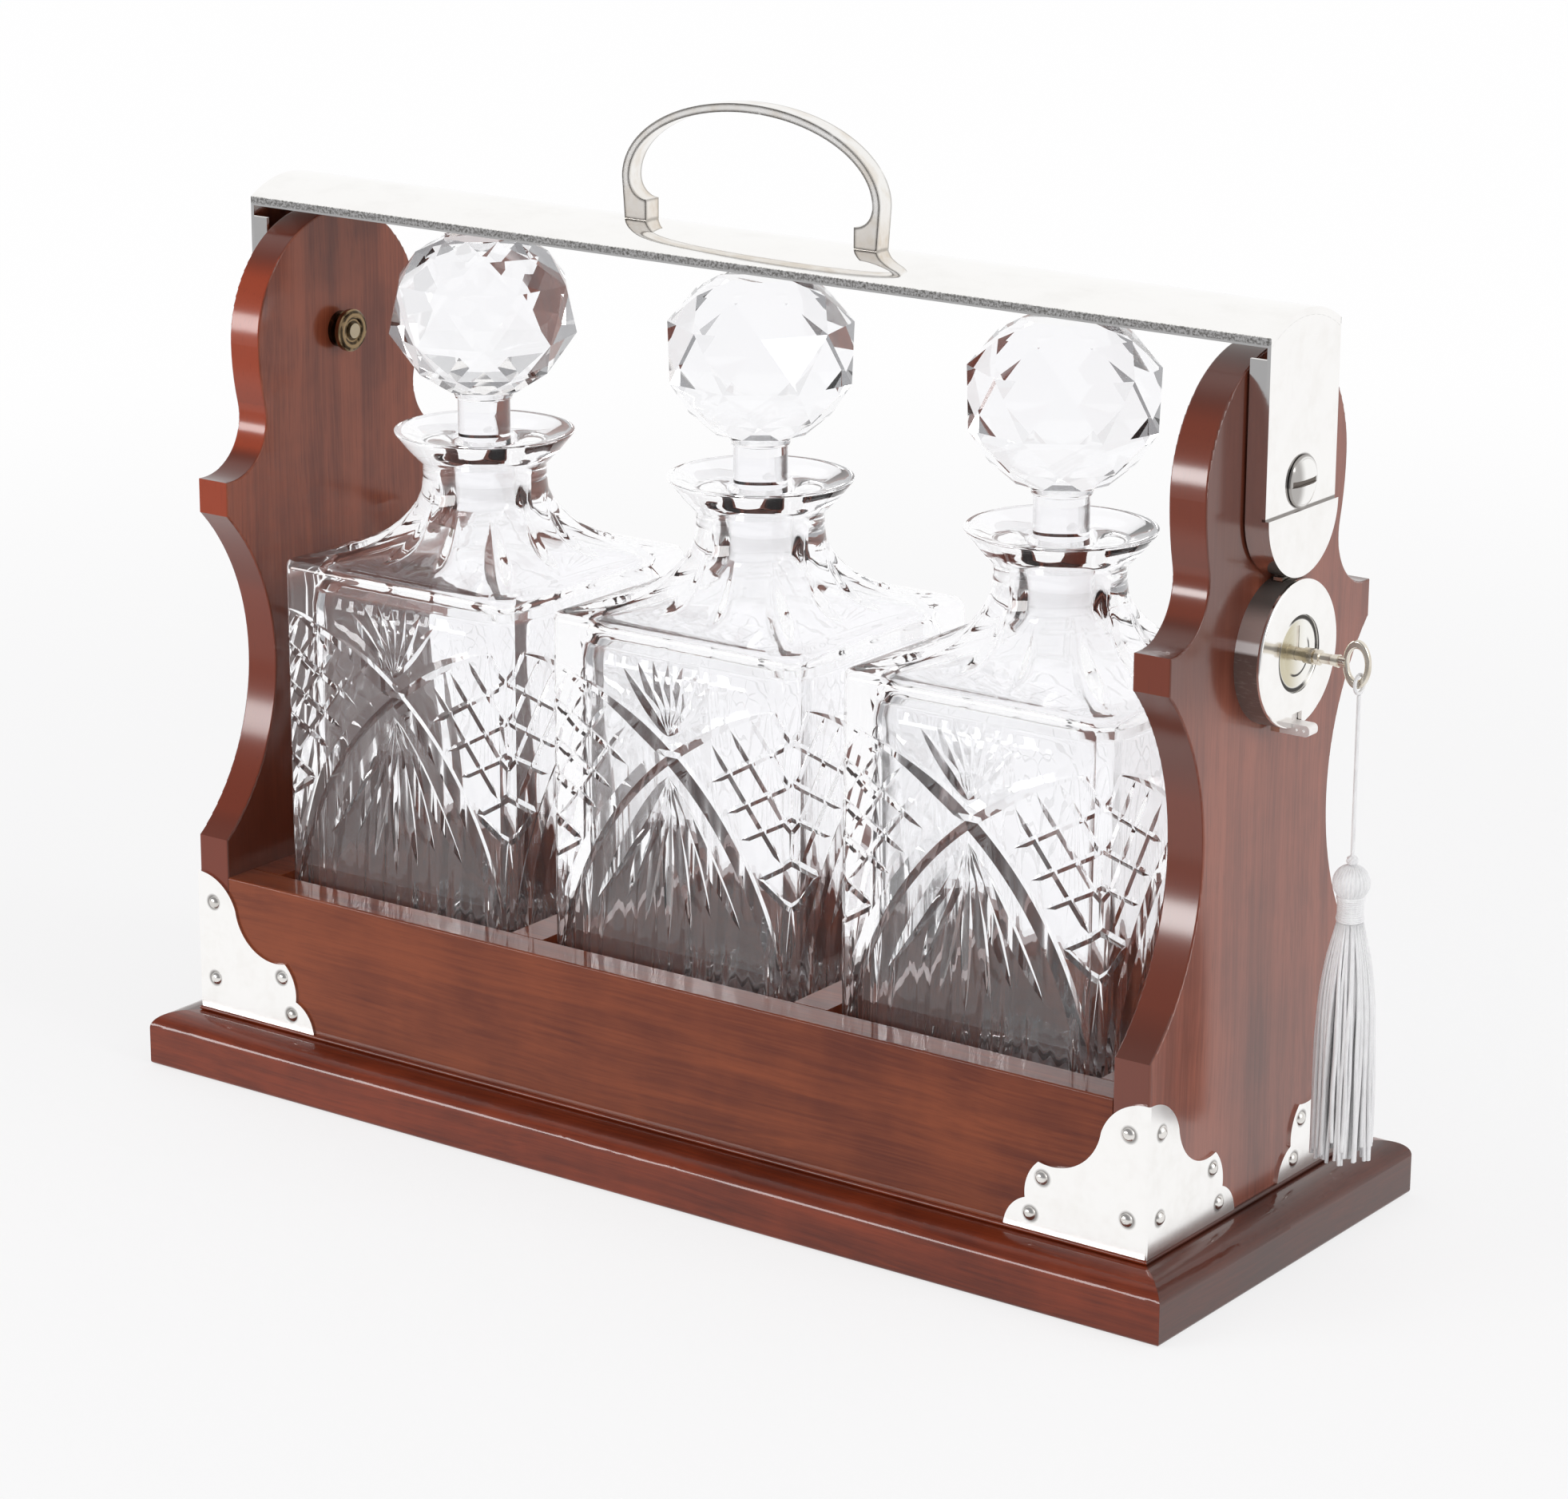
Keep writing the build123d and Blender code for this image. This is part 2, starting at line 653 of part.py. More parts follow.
def make_thumb_tab():
    """Small lever of the bolt that stands out under the lock."""
    base = tab_base_z()
    tab = block((end_x + bolt_back + bolt_thickness, end_x + tab_reach),
                (-tab_width / 2, tab_width / 2), (base, base + tab_height))
    tip = tab.edges().filter_by(Axis.Y).sort_by(Axis.X)[-2:]
    tab = fillet(tip, tab_height * 0.42)
    for back in (2.0, 4.4):
        rivet = Pos(end_x + tab_reach - back, -tab_width / 2, base + tab_height / 2)
        tab += rivet * Sphere(0.45)
    back_x = lock_face_x - lock_plate - shield_gap
    shield_low = lock_z - lock_radius + lock_wall + shield_gap + notch_clearance
    shield_top = lock_z - lock_radius + tab_height + bolt_travel - tab_sink + shield_lap
    tab += block((back_x - shield_thickness, back_x), (-tab_width / 2, tab_width / 2),
                 (base + tab_height / 2, shield_top))
    shield_half = tab_width / 2 + shield_lap
    return tab + block((back_x - shield_thickness, back_x), (-shield_half, shield_half),
                       (shield_low, shield_top))


def key_slot(gap):
    """The key's bit, grown by a gap: from its inner end to the given face."""
    half = key_bit_thickness / 2 + gap
    return (-half, half), (lock_z, lock_z + key_bit_height + gap)


def make_lock_barrel():
    """Round barrel that the key turns, with a flange behind the face plate and a cam pin."""
    front = lock_face_x - barrel_recess
    flange_back = lock_face_x - lock_plate - 0.1 - flange_thickness
    barrel = rod_x(flange_back, front, barrel_radius, z=lock_z)
    barrel = fillet(barrel.faces().sort_by(Axis.X)[-1].edges(), 0.3)
    barrel += rod_x(flange_back, flange_back + flange_thickness, flange_radius, z=lock_z)
    seat = end_x + key_seat - 0.2
    barrel -= rod_x(seat, front + 1, key_shaft_radius + key_clearance, z=lock_z)
    slot_y, slot_z = key_slot(key_clearance)
    barrel -= block((seat, front + 1), slot_y, slot_z)
    throw = cam_throw() * math.sqrt(0.5)
    return barrel + rod_x(end_x + bolt_back + 0.3, flange_back, cam_pin_radius, throw, lock_z - throw)


# --- key and tassel --------------------------------------------------------------------------

def make_key():
    """Small key with a collar, an oval bow and a plain bit."""
    start = end_x + key_seat
    key = rod_x(start, end_x + key_turning[0][0], key_shaft_radius, z=lock_z)
    key += rod_x(end_x + key_turning[-1][0], bow_x - bow_half_length + 1, 1.6, z=lock_z)
    turning = [(end_x + along, radius) for along, radius in key_turning]
    key += turned_x([(turning[0][0], 0)] + turning + [(turning[-1][0], 0)], z=lock_z)
    bow = Ellipse(bow_half_length, bow_half_height) - Ellipse(bow_hole_half_length, bow_hole_half_height)
    bow = Pos(bow_x, 0, lock_z) * extrude(Plane.XZ * bow, amount=bow_thickness / 2, both=True)
    bow = fillet(bow.edges().filter_by(Plane.XZ), bow_thickness * 0.3)
    bit_y, bit_z = key_slot(0)
    return key + bow + block((start, start + key_bit_length), bit_y, bit_z)


def bow_bar_z():
    """Middle of the bow's lower rim where the cord is looped round it."""
    outer = bow_half_height * math.sqrt(1 - (cord_offset / bow_half_length) ** 2)
    inner = bow_hole_half_height * math.sqrt(1 - (cord_offset / bow_hole_half_length) ** 2)
    return lock_z - (outer + inner) / 2


def cord_ends():
    """Heights of the top and bottom of the straight cord."""
    top = bow_bar_z() - loop_radius - cord_diameter / 2
    return top, top - cord_length


def make_cord_loop():
    """Loop of the cord round the lower bar of the bow."""
    return Pos(cord_x, 0, bow_bar_z()) * Rot(0, 90, 0) * Torus(loop_radius, cord_diameter / 2)


def make_cord():
    """Straight silk cord between the key and the tassel."""
    top, bottom = cord_ends()
    return rod_z(bottom, top, cord_diameter / 2, x=cord_x)


def head_centre_z():
    """Centre of the tassel's ball."""
    return cord_ends()[1] - math.sqrt(tassel_head_radius ** 2 - cord_diameter ** 2)


def band_top_z():
    """Height where the ball of the tassel meets its neck band."""
    return head_centre_z() - math.sqrt(tassel_head_radius ** 2 - tassel_band_radius ** 2)


def make_tassel_head():
    """Wound ball at the top of the tassel."""
    ball = Pos(cord_x, 0, head_centre_z()) * Sphere(tassel_head_radius)
    reach = 2 * tassel_head_radius
    return ball & block((cord_x - reach, cord_x + reach), (-reach, reach), (band_top_z(), cord_ends()[1]))


def make_tassel_band():
    """Bound neck of the tassel."""
    top = band_top_z()
    return rod_z(top - tassel_band_length, top, tassel_band_radius, x=cord_x)


def make_tassel_skirt():
    """Outer form of the hanging threads."""
    top = band_top_z() - tassel_band_length
    points = [(0, top)] + [(radius, top - share * skirt_length) for share, radius in skirt_shape]
    points.append((0, top - skirt_length))
    return turned_z(points, x=cord_x)


# --- decanters and stoppers ------------------------------------------------------------------

def square_column(half, low, high, chamfer_size):
    """Upright square column with chamfered corners."""
    column = block((-half, half), (-half, half), (low, high))
    return chamfer(column.edges().filter_by(Axis.Z), chamfer_size)


def square_shoulder(half, low, steps, chamfer_size):
    """Low four-sided shoulder in steps that grow steeper towards the neck."""
    top = square_column(half, low - 1, low, chamfer_size).faces().sort_by(Axis.Z)[-1]
    solid = None
    width, height = half, low
    for next_width, next_height in steps:
        slope = math.degrees(math.atan((width - next_width) / (next_height - height)))
        step = extrude(top, amount=next_height - height, taper=slope)
        solid = step if solid is None else solid + step
        top = step.faces().sort_by(Axis.Z)[-1]
        width, height = next_width, next_height
    return solid


def make_decanter(x):
    """Square blown decanter with a low shoulder, a round neck and a flared lip, all hollow."""
    half = decanter_side / 2
    body = square_column(half, 0, decanter_body, decanter_chamfer)
    body = fillet(body.faces().sort_by(Axis.Z)[-1].edges(), shoulder_round)
    outer = body + square_shoulder(half - shoulder_round, decanter_body, shoulder_steps, decanter_chamfer)
    foot_z = shoulder_steps[-1][1]
    outer += turned_z([(0, foot_z - 4), (neck_outer + 13, foot_z - 3.4), (neck_outer + 6.5, foot_z - 0.4),
                       (neck_outer + 2.6, foot_z + 3.4), (neck_outer + 0.7, foot_z + 8),
                       (neck_outer, foot_z + 12), (neck_outer, neck_top),
                       (lip_radius - 1.2, lip_height - 1.8), (lip_radius, lip_height - 0.8),
                       (lip_radius, lip_height), (lip_radius - 1.2, lip_height), (mouth_radius, mouth_height),
                       (neck_bore, mouth_height - 1.5), (0, mouth_height - 1.5)])
    inner = half - glass_wall
    inner_top = decanter_body - glass_wall
    steps = [(width - glass_wall * 0.7, height - glass_wall) for width, height in shoulder_steps]
    cavity = square_column(inner, glass_base, inner_top, decanter_chamfer)
    cavity += square_shoulder(inner, inner_top, steps, decanter_chamfer)
    cavity += rod_z(glass_base, mouth_height, neck_bore)
    return Pos(x, 0, floor_z) * (outer - cavity)


def make_stopper(x, turn):
    """Cut ball with a flat top, a tapered collar and a ground stem."""
    points = []
    for ring, (radius, height) in enumerate(ball_rings):
        for side in range(stopper_sides):
            angle = math.radians(turn) + 2 * math.pi * (side + 0.5 * (ring % 2)) / stopper_sides
            points.append((radius * math.cos(angle), radius * math.sin(angle), height))
    ball = Pos(0, 0, ball_z) * ConvexPolyhedron(points)
    stem = neck_bore - stem_clearance
    low = lip_z - stem_depth
    seat = floor_z + mouth_height - 1.0
    collar = ball_z - ball_collar
    neck = turned_z([(0, low), (stem - 0.6, low), (stem, low + 0.6), (stem, seat),
                     (stem_visible_radius, seat + 1.2), (stem_visible_radius, collar),
                     (stem_visible_radius + 0.7, collar + 0.3), (stem_visible_radius + 0.9, collar + 1.0),
                     (collar_radius, ball_z - 0.3), (collar_radius, ball_z + 1.5), (0, ball_z + 1.5)])
    return Pos(x, 0, 0) * (ball + neck)


# --- assembly --------------------------------------------------------------------------------

def as_group(solids):
    """Several separate solids of one node."""
    return Compound(children=[solid for solid in solids])


def build():
    """Every piece of the tantalus by its node's name."""
    ends = {"left": -1, "right": 1}
    depths = {"front": -1, "back": 1}
    parts = {
        "plinth": make_plinth(),
        "base_baize": make_baize(),
        "foot_bead": make_foot_bead(),
        "floor_board": make_floor(),
        "front_board": make_board(-1),
        "back_board": make_board(1),
        "locking_bar": make_locking_bar(),
        "hasp_plate": make_hasp_plate(),
        "carry_handle": make_handle(),
        "lock_drum": make_lock_drum(),
        "lock_face_plate": make_lock_face(),
        "lock_base_plate": make_lock_base(),
        "lock_bolt": make_lock_bolt(),
        "thumb_tab": make_thumb_tab(),
        "lock_barrel": make_lock_barrel(),
        "key": make_key(),
        "tassel_loop": make_cord_loop(),
        "tassel_cord": make_cord(),
        "tassel_head": make_tassel_head(),
        "tassel_band": make_tassel_band(),
        "tassel_skirt": make_tassel_skirt(),
    }
    for name, side in ends.items():
        parts[f"end_panel_{name}"] = make_end_panel(side)
        parts[f"end_liner_{name}"] = make_end_liner(side)
        parts[f"divider_{name}"] = make_divider(side)
        parts[f"bar_arm_{name}"] = make_arm(side)
        parts[f"arm_rim_{name}"] = make_arm_rim(side)
        parts[f"pivot_bush_{name}"] = make_pivot_bush(side)
        parts[f"pivot_screw_{name}"] = make_pivot_screw(side)
        parts[f"pivot_nut_{name}"] = make_pivot_nut(side)
    for name, place in (("left", -1), ("middle", 0), ("right", 1)):
        parts[f"decanter_{name}"] = make_decanter(place * decanter_pitch)
        parts[f"stopper_{name}"] = make_stopper(place * decanter_pitch, stopper_turns[name])

    groups = {
        "plinth_screws": make_plinth_screws(),
        "lock_screws": make_lock_screws(),
        "bolt_guides": make_bolt_guides(),
        "handle_studs": make_handle_studs(),
    }
    mount, pins = make_corner_mount(), make_mount_pins()
    for depth, side_y in depths.items():
        for end, side_x in ends.items():
            corner = f"{depth}_{end}"
            parts[f"corner_mount_{corner}"] = at_corner(mount, side_x, side_y)
            groups[f"mount_pins_{corner}"] = [at_corner(pin, side_x, side_y) for pin in pins]
            for pin in groups[f"mount_pins_{corner}"]:
                for host in (f"corner_mount_{corner}", f"{depth}_board", f"end_panel_{end}"):
                    parts[host] -= pin
    for screw in groups["plinth_screws"]:
        for host in ("plinth", "foot_bead", "front_board", "back_board"):
            parts[host] -= screw
    for screw in groups["lock_screws"]:
        for host in ("lock_base_plate", "end_panel_right"):
            parts[host] -= screw
    for stud in groups["handle_studs"]:
        parts["carry_handle"] -= stud
    for name, solids in groups.items():
        parts[name] = as_group(solids)
    return parts


os.makedirs("parts", exist_ok=True)
for name, piece in build().items():
    export_step(piece, f"parts/{name}.step")
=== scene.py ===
import math

import bmesh
import bpy
import numpy as np
from mathutils import Matrix, Vector
from mathutils.geometry import delaunay_2d_cdt


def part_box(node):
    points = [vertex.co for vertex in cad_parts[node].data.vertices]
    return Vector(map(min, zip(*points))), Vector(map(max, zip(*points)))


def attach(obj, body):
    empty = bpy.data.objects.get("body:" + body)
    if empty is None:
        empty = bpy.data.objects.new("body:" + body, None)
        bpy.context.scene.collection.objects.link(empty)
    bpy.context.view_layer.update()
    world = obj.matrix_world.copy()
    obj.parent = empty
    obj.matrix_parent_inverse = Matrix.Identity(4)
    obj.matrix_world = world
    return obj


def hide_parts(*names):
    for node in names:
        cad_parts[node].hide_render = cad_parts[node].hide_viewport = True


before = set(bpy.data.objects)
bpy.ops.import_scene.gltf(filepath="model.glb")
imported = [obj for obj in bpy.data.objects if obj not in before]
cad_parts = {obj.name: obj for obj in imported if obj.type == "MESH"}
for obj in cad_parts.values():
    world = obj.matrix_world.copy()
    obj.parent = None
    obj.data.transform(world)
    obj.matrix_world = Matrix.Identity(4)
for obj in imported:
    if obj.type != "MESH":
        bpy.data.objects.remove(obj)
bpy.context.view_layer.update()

# ---------------------------------------------------------------------------
# Room: a pale floor that melts into a white surround, a low soft lamp in front
# and a square one at the lock's side. What metal and polish mirror is grey in
# front of the object, so that they have something dark to show.
# ---------------------------------------------------------------------------
room = bpy.context.scene
room.view_settings.view_transform = "Standard"


class Amount:
    """A number that varies over a surface: the operators on it add Math nodes."""

    def __init__(self, nodes, socket):
        self.nodes = nodes
        self.socket = socket

    def then(self, operation, *others, swap=False):
        """One Math node with this value and the others as its inputs, last one first when swap is true."""
        terms = [self, *others]
        if swap:
            terms.reverse()
        made = self.nodes.node("Math", {"operation": operation}, dict(enumerate(terms)))
        return Amount(self.nodes, made.outputs[0])

    def __add__(self, other):
        return self.then("ADD", other)

    def __radd__(self, other):
        return self.then("ADD", other)

    def __sub__(self, other):
        return self.then("SUBTRACT", other)

    def __rsub__(self, other):
        return self.then("SUBTRACT", other, swap=True)

    def __mul__(self, other):
        return self.then("MULTIPLY", other)

    def __rmul__(self, other):
        return self.then("MULTIPLY", other)

    def __pow__(self, other):
        return self.then("POWER", other)

    def __abs__(self):
        return self.then("ABSOLUTE")

    def step(self, low, high):
        """0 below low, 1 above high, smooth between them; low may be the larger."""
        made = self.nodes.node("MapRange", {"interpolation_type": "SMOOTHSTEP"},
                               {"Value": self, "From Min": low, "From Max": high})
        return Amount(self.nodes, made.outputs["Result"])


def largest(first, *others):
    """The largest of several amounts at each point."""
    for other in others:
        first = first.then("MAXIMUM", other)
    return first


class Nodes:
    """The node tree of a material or of the world."""

    def __init__(self, tree):
        self.tree = tree

    def feed(self, socket, value):
        """Puts a value, a colour or another node's output into a socket."""
        if isinstance(value, Amount):
            value = value.socket
        if isinstance(value, bpy.types.NodeSocket):
            self.tree.links.new(value, socket)
        elif socket.type == "RGBA" and len(value) == 3:
            socket.default_value = (*value, 1.0)
        else:
            socket.default_value = value

    def node(self, kind, settings=None, values=None):
        """Adds one node: its settings first, then its sockets' values or links."""
        made = self.tree.nodes.new("ShaderNode" + kind)
        for name, value in (settings or {}).items():
            setattr(made, name, value)
        for name, value in (values or {}).items():
            self.feed(made.inputs[name], value)
        return made

    def place(self):
        """The point's x, y and z in millimetres, from Object coordinates."""
        where = self.node("TexCoord").outputs["Object"]
        parts = self.node("SeparateXYZ", {}, {"Vector": where})
        return [Amount(self, parts.outputs[axis]) * 1000.0 for axis in "XYZ"]

    def point(self, x, y, z):
        """A vector made of three values."""
        return self.node("CombineXYZ", {}, {"X": x, "Y": y, "Z": z}).outputs[0]

    def facing(self):
        """The surface's direction in the piece's own axes, so it turns with its body."""
        parts = self.node("SeparateXYZ", {}, {"Vector": self.node("TexCoord").outputs["Normal"]})
        return [Amount(self, parts.outputs[axis]) for axis in "XYZ"]

    def near_edge(self, radius):
        """1 less the cosine by which rounding the edges, in metres, turns the surface: 0 away from them."""
        rounded = self.node("Bevel", {"samples": 6}, {"Radius": radius}).outputs["Normal"]
        flat = self.node("NewGeometry").outputs["Normal"]
        made = self.node("VectorMath", {"operation": "DOT_PRODUCT"}, {0: rounded, 1: flat})
        return 1 - Amount(self, made.outputs["Value"])

    def noise(self, where, detail=2.0, roughness=0.5, distortion=0.0):
        """Perlin noise, about 0.5 on average, with one swell per unit."""
        made = self.node("TexNoise", {}, {"Vector": where, "Scale": 1.0, "Detail": detail,
                                          "Roughness": roughness, "Distortion": distortion})
        return Amount(self, made.outputs["Fac"])

    def mix(self, share, first, second):
        """first where share is 0, second where it is 1."""
        made = self.node("Mix", {"data_type": "RGBA"}, {"Factor": share, "A": first, "B": second})
        return made.outputs["Result"]


class Finish(Nodes):
    """A material with one shader, whose sockets are set or linked by name."""

    def __init__(self, name, **shader):
        self.material = bpy.data.materials.new(name)
        self.material.use_nodes = True
        super().__init__(self.material.node_tree)
        self.shader = self.tree.nodes["Principled BSDF"]
        self.set(**shader)

    def set(self, **sockets):
        """Sets or links sockets of the shader: Base_Color=... is the socket Base Color."""
        for name, value in sockets.items():
            self.feed(self.shader.inputs[name.replace("_", " ")], value)

    def bump(self, height, depth, strength=1.0):
        """Feeds Normal from a height of 0 to 1 that stands for a depth in metres."""
        made = self.node("Bump", {}, {"Height": height, "Distance": depth, "Strength": strength})
        self.set(Normal=made.outputs["Normal"])


def ray_is(nodes, *kinds):
    """1 for rays of any of these kinds, such as Camera or Glossy."""
    rays = nodes.node("LightPath")
    return largest(*[Amount(nodes, rays.outputs["Is %s Ray" % kind]) for kind in kinds])


def light_room():
    """White surround where it is seen; mirrored rays find it dark in front, with one pale low window."""
    world = bpy.data.worlds.new("surround")
    room.world = world
    world.use_nodes = True
    air = Nodes(world.node_tree)
    glow = air.tree.nodes["Background"]
    way = air.node("SeparateXYZ", {}, {"Vector": air.node("TexCoord").outputs["Generated"]})
    x, y, z = [Amount(air, way.outputs[axis]) for axis in "XYZ"]
    white, fill, dark = (1.0, 1.0, 1.0), (0.60, 0.60, 0.61), (0.34, 0.34, 0.35)
    window = (x * -0.56 - y * 0.83).step(0.90, 0.97) * z.step(0.24, 0.12)
    front = (y * -1.0 - x * 0.2).step(0.05, 0.5) * (1 - window)
    mirrored = air.mix(front, white, dark)
    plain = air.mix(ray_is(air, "Camera", "Transmission"), fill, white)
    air.feed(glow.inputs["Color"], air.mix(ray_is(air, "Glossy"), plain, mirrored))
    for name, where, aim, size, watts in (
            ("low_softbox", (-1.15, -1.72, 0.41), (0, 0, 0.16), (1.1, 0.42), 20.0),
            ("side_softbox", (1.9, 0.1, 1.0), (0.1, 0, 0.12), (1.0, 1.0), 12.0)):
        lamp = bpy.data.lights.new(name, "AREA")
        lamp.shape = "RECTANGLE"
        lamp.size, lamp.size_y = size
        lamp.energy = watts
        held = bpy.data.objects.new(name, lamp)
        held.location = where
        held.rotation_euler = (Vector(aim) - Vector(where)).to_track_quat("-Z", "Y").to_euler()
        room.collection.objects.link(held)


def lay_floor():
    """Flat paper that keeps the object's shadow, fades into the surround and mirrors dark in front."""
    mesh = bpy.data.meshes.new("floor")
    reach, level = 12.0, -0.0002
    corners = np.array([(-1, -1), (1, -1), (1, 1), (-1, 1)]) * reach
    mesh.from_pydata([(x, y, level) for x, y in corners], [], [(0, 1, 2, 3)])
    floor = bpy.data.objects.new("floor", mesh)
    room.collection.objects.link(floor)
    paper = Finish("floor_paper", Base_Color=(0.96, 0.96, 0.96), Roughness=0.9, Specular_IOR_Level=0.1)
    x, y, _ = paper.place()
    front = (y * -1.0).step(380.0, 560.0) * ray_is(paper, "Glossy")
    tint = paper.mix(front, (1.0, 0.998, 1.0), (0.38, 0.38, 0.39))
    white = paper.node("Emission", {}, {"Color": tint, "Strength": 1.0})
    far = ((x ** 2 + y ** 2) ** 0.5).step(400.0, 1300.0)
    near_glow, more_glow = 0.75, 0.24
    seen = ray_is(paper, "Camera", "Transmission") * (far * more_glow + near_glow)
    share = largest(seen, ray_is(paper, "Glossy"))
    out = paper.node("MixShader", {}, {0: share, 1: paper.shader.outputs[0], 2: white.outputs[0]})
    paper.feed(paper.tree.nodes["Material Output"].inputs["Surface"], out.outputs[0])
    mesh.materials.append(paper.material)


def set_camera():
    """Long lens from the front and the lock's side, looking a little down."""
    yaw, pitch, roll = math.radians(35.937), math.radians(16.465), math.radians(0.262)
    where = (0.85566, -1.16719, 0.55619)
    film, focal_pixels, frame_pixels = 36.0, 5907.63, 1963
    ahead = Vector((-math.sin(yaw) * math.cos(pitch), math.cos(yaw) * math.cos(pitch), -math.sin(pitch)))
    level = ahead.cross(Vector((0, 0, 1))).normalized()
    up = level.cross(ahead)
    right = level * math.cos(roll) + up * math.sin(roll)
    up = up * math.cos(roll) - level * math.sin(roll)
    lens = bpy.data.cameras.new("camera")
    lens.sensor_fit = "HORIZONTAL"
    lens.sensor_width = film
    lens.lens = film * focal_pixels / frame_pixels
    lens.clip_start = 0.05
    camera = bpy.data.objects.new("camera", lens)
    turned = Matrix((right, up, -ahead)).transposed().to_4x4()
    camera.matrix_world = Matrix.Translation(where) @ turned
    room.collection.objects.link(camera)
    room.camera = camera


light_room()
lay_floor()
set_camera()

# ---------------------------------------------------------------------------
# Tassel cord: a thin twisted silk cord from its loop on the key's bow down to
# the tassel. It hangs straight, so its route is a plumb line.
# ---------------------------------------------------------------------------
tassel_x = 0.216
cord_thickness = 0.0012
cord_foot, cord_top = [corner.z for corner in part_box("tassel_cord")]


def give(piece, finish):
    """Puts one finish on a piece in place of any others."""
    piece.data.materials.clear()
    piece.data.materials.append(finish.material)


def surface(name, points, faces, finish, smooth=True):
    """A new piece from arrays of points in metres and of faces."""
    mesh = bpy.data.meshes.new(name)
    mesh.from_pydata(np.asarray(points, float).reshape(-1, 3).tolist(), [], [list(f) for f in faces])
    mesh.polygons.foreach_set("use_smooth", np.full(len(mesh.polygons), smooth))
    mesh.update()
    piece = bpy.data.objects.new(name, mesh)
    room.collection.objects.link(piece)
    give(piece, finish)
    return piece


def grid_faces(rows, columns, start=0):
    """Quads of a stack of rings: each joins four neighbours, and the last column meets the first."""
    row, column = np.meshgrid(np.arange(rows - 1), np.arange(columns), indexing="ij")
    after = (column + 1) % columns
    a = start + row * columns
    return np.stack([a + column, a + after, a + columns + after, a + columns + column], -1).reshape(-1, 4)


def around(count):
    """Angles evenly spread round a circle."""
    return np.arange(count) * 2 * math.pi / count


def silk_finish():
    """Silk thread: a sheen over fine slanting plies, with painted shade in the grooves between them."""
    silk = Finish("silver_silk", Roughness=0.42, Sheen_Weight=0.35, Sheen_Roughness=0.3)
    x, y, z = silk.place()
    lean, pitch = 2.1, 0.9
    slant = (z + x * lean + y * lean) * (2 * math.pi / pitch)
    ply = slant.then("SINE") * 0.5 + 0.5
    patches = silk.noise(silk.point(x * 1.3, y * 1.3, z * 0.22))
    # The grey end of the colour stands for random darker patches and for painted shade in the grooves between
    # plies.
    tone = (patches - 0.5) * 1.5 + ply * 0.45 + 0.48
    silk.set(Base_Color=silk.mix(tone.then("MINIMUM", 1.0), (0.80, 0.79, 0.80), (1.0, 1.0, 1.0)))
    silk.bump(ply, 0.00012, 0.6)
    return silk


silver_silk = silk_finish()


def hang_cord():
    """Round cord on a smooth plumb line of six points."""
    heights = np.linspace(cord_top, cord_foot, 6)
    line = bpy.data.curves.new("twisted_cord", "CURVE")
    line.dimensions = "3D"
    spline = line.splines.new("NURBS")
    spline.points.add(len(heights) - 1)
    for point, z in zip(spline.points, heights):
        point.co = (tassel_x, 0.0, z, 1.0)
    spline.order_u = 3
    spline.use_endpoint_u = True
    line.bevel_depth = cord_thickness / 2
    line.bevel_resolution = 3
    line.use_fill_caps = True
    cord = bpy.data.objects.new("twisted_cord", line)
    room.collection.objects.link(cord)
    give(cord, silver_silk)
    return cord


cord = hang_cord()
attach(cord, "tassel")
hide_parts("tassel_cord")

# ---------------------------------------------------------------------------
# Tassel: a wooden ball wound with silk from pole to pole, a neck band of
# wound turns, and a skirt of loose strands that part into locks and fray.
# ---------------------------------------------------------------------------
def ring_stack(rows, columns, start=0):
    """Faces of a stack of rings that run downwards, with its first and last ring closed."""
    first = list(range(start, start + columns))
    last = [corner + (rows - 1) * columns for corner in first]
    return grid_faces(rows, columns, start)[:, ::-1].tolist() + [first, last[::-1]]


def wind_ball():
    """Ball with threads from pole to pole, its radius times 1 + a small cosine, and the knot on top."""
    low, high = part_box("tassel_head")
    middle = (low + high) / 2
    radius = (high.x - low.x) / 2
    rows, columns, threads = 40, 168, 28
    tilt = np.linspace(0.03, math.pi - 0.5, rows)[:, None]
    turn = around(columns)[None, :]
    ridge = 1 + 0.034 * np.cos(threads * turn + 1.2 * tilt) * np.sin(tilt) ** 0.5 - 0.02
    wide = radius * ridge * np.sin(tilt)
    ball = np.stack([middle.x + wide * np.cos(turn), middle.y + wide * np.sin(turn),
                     high.z - radius + radius * ridge * np.cos(tilt)], -1)
    knot_rows, knot_columns = 15, 36
    tilt = np.linspace(0.05, math.pi - 0.05, knot_rows)[:, None]
    turn = around(knot_columns)[None, :]
    wide = 0.0017 * (1 + 0.12 * np.cos(6 * turn + 5 * tilt)) * np.sin(tilt)
    z = np.broadcast_to(high.z + 0.0012 + 0.0016 * np.cos(tilt), wide.shape)
    knot = np.stack([middle.x + wide * np.cos(turn), middle.y + wide * np.sin(turn), z], -1)
    points = np.vstack([ball.reshape(-1, 3), knot.reshape(-1, 3)])
    faces = ring_stack(rows, columns) + ring_stack(knot_rows, knot_columns, rows * columns)
    return surface("wound_ball", points, faces, silver_silk)


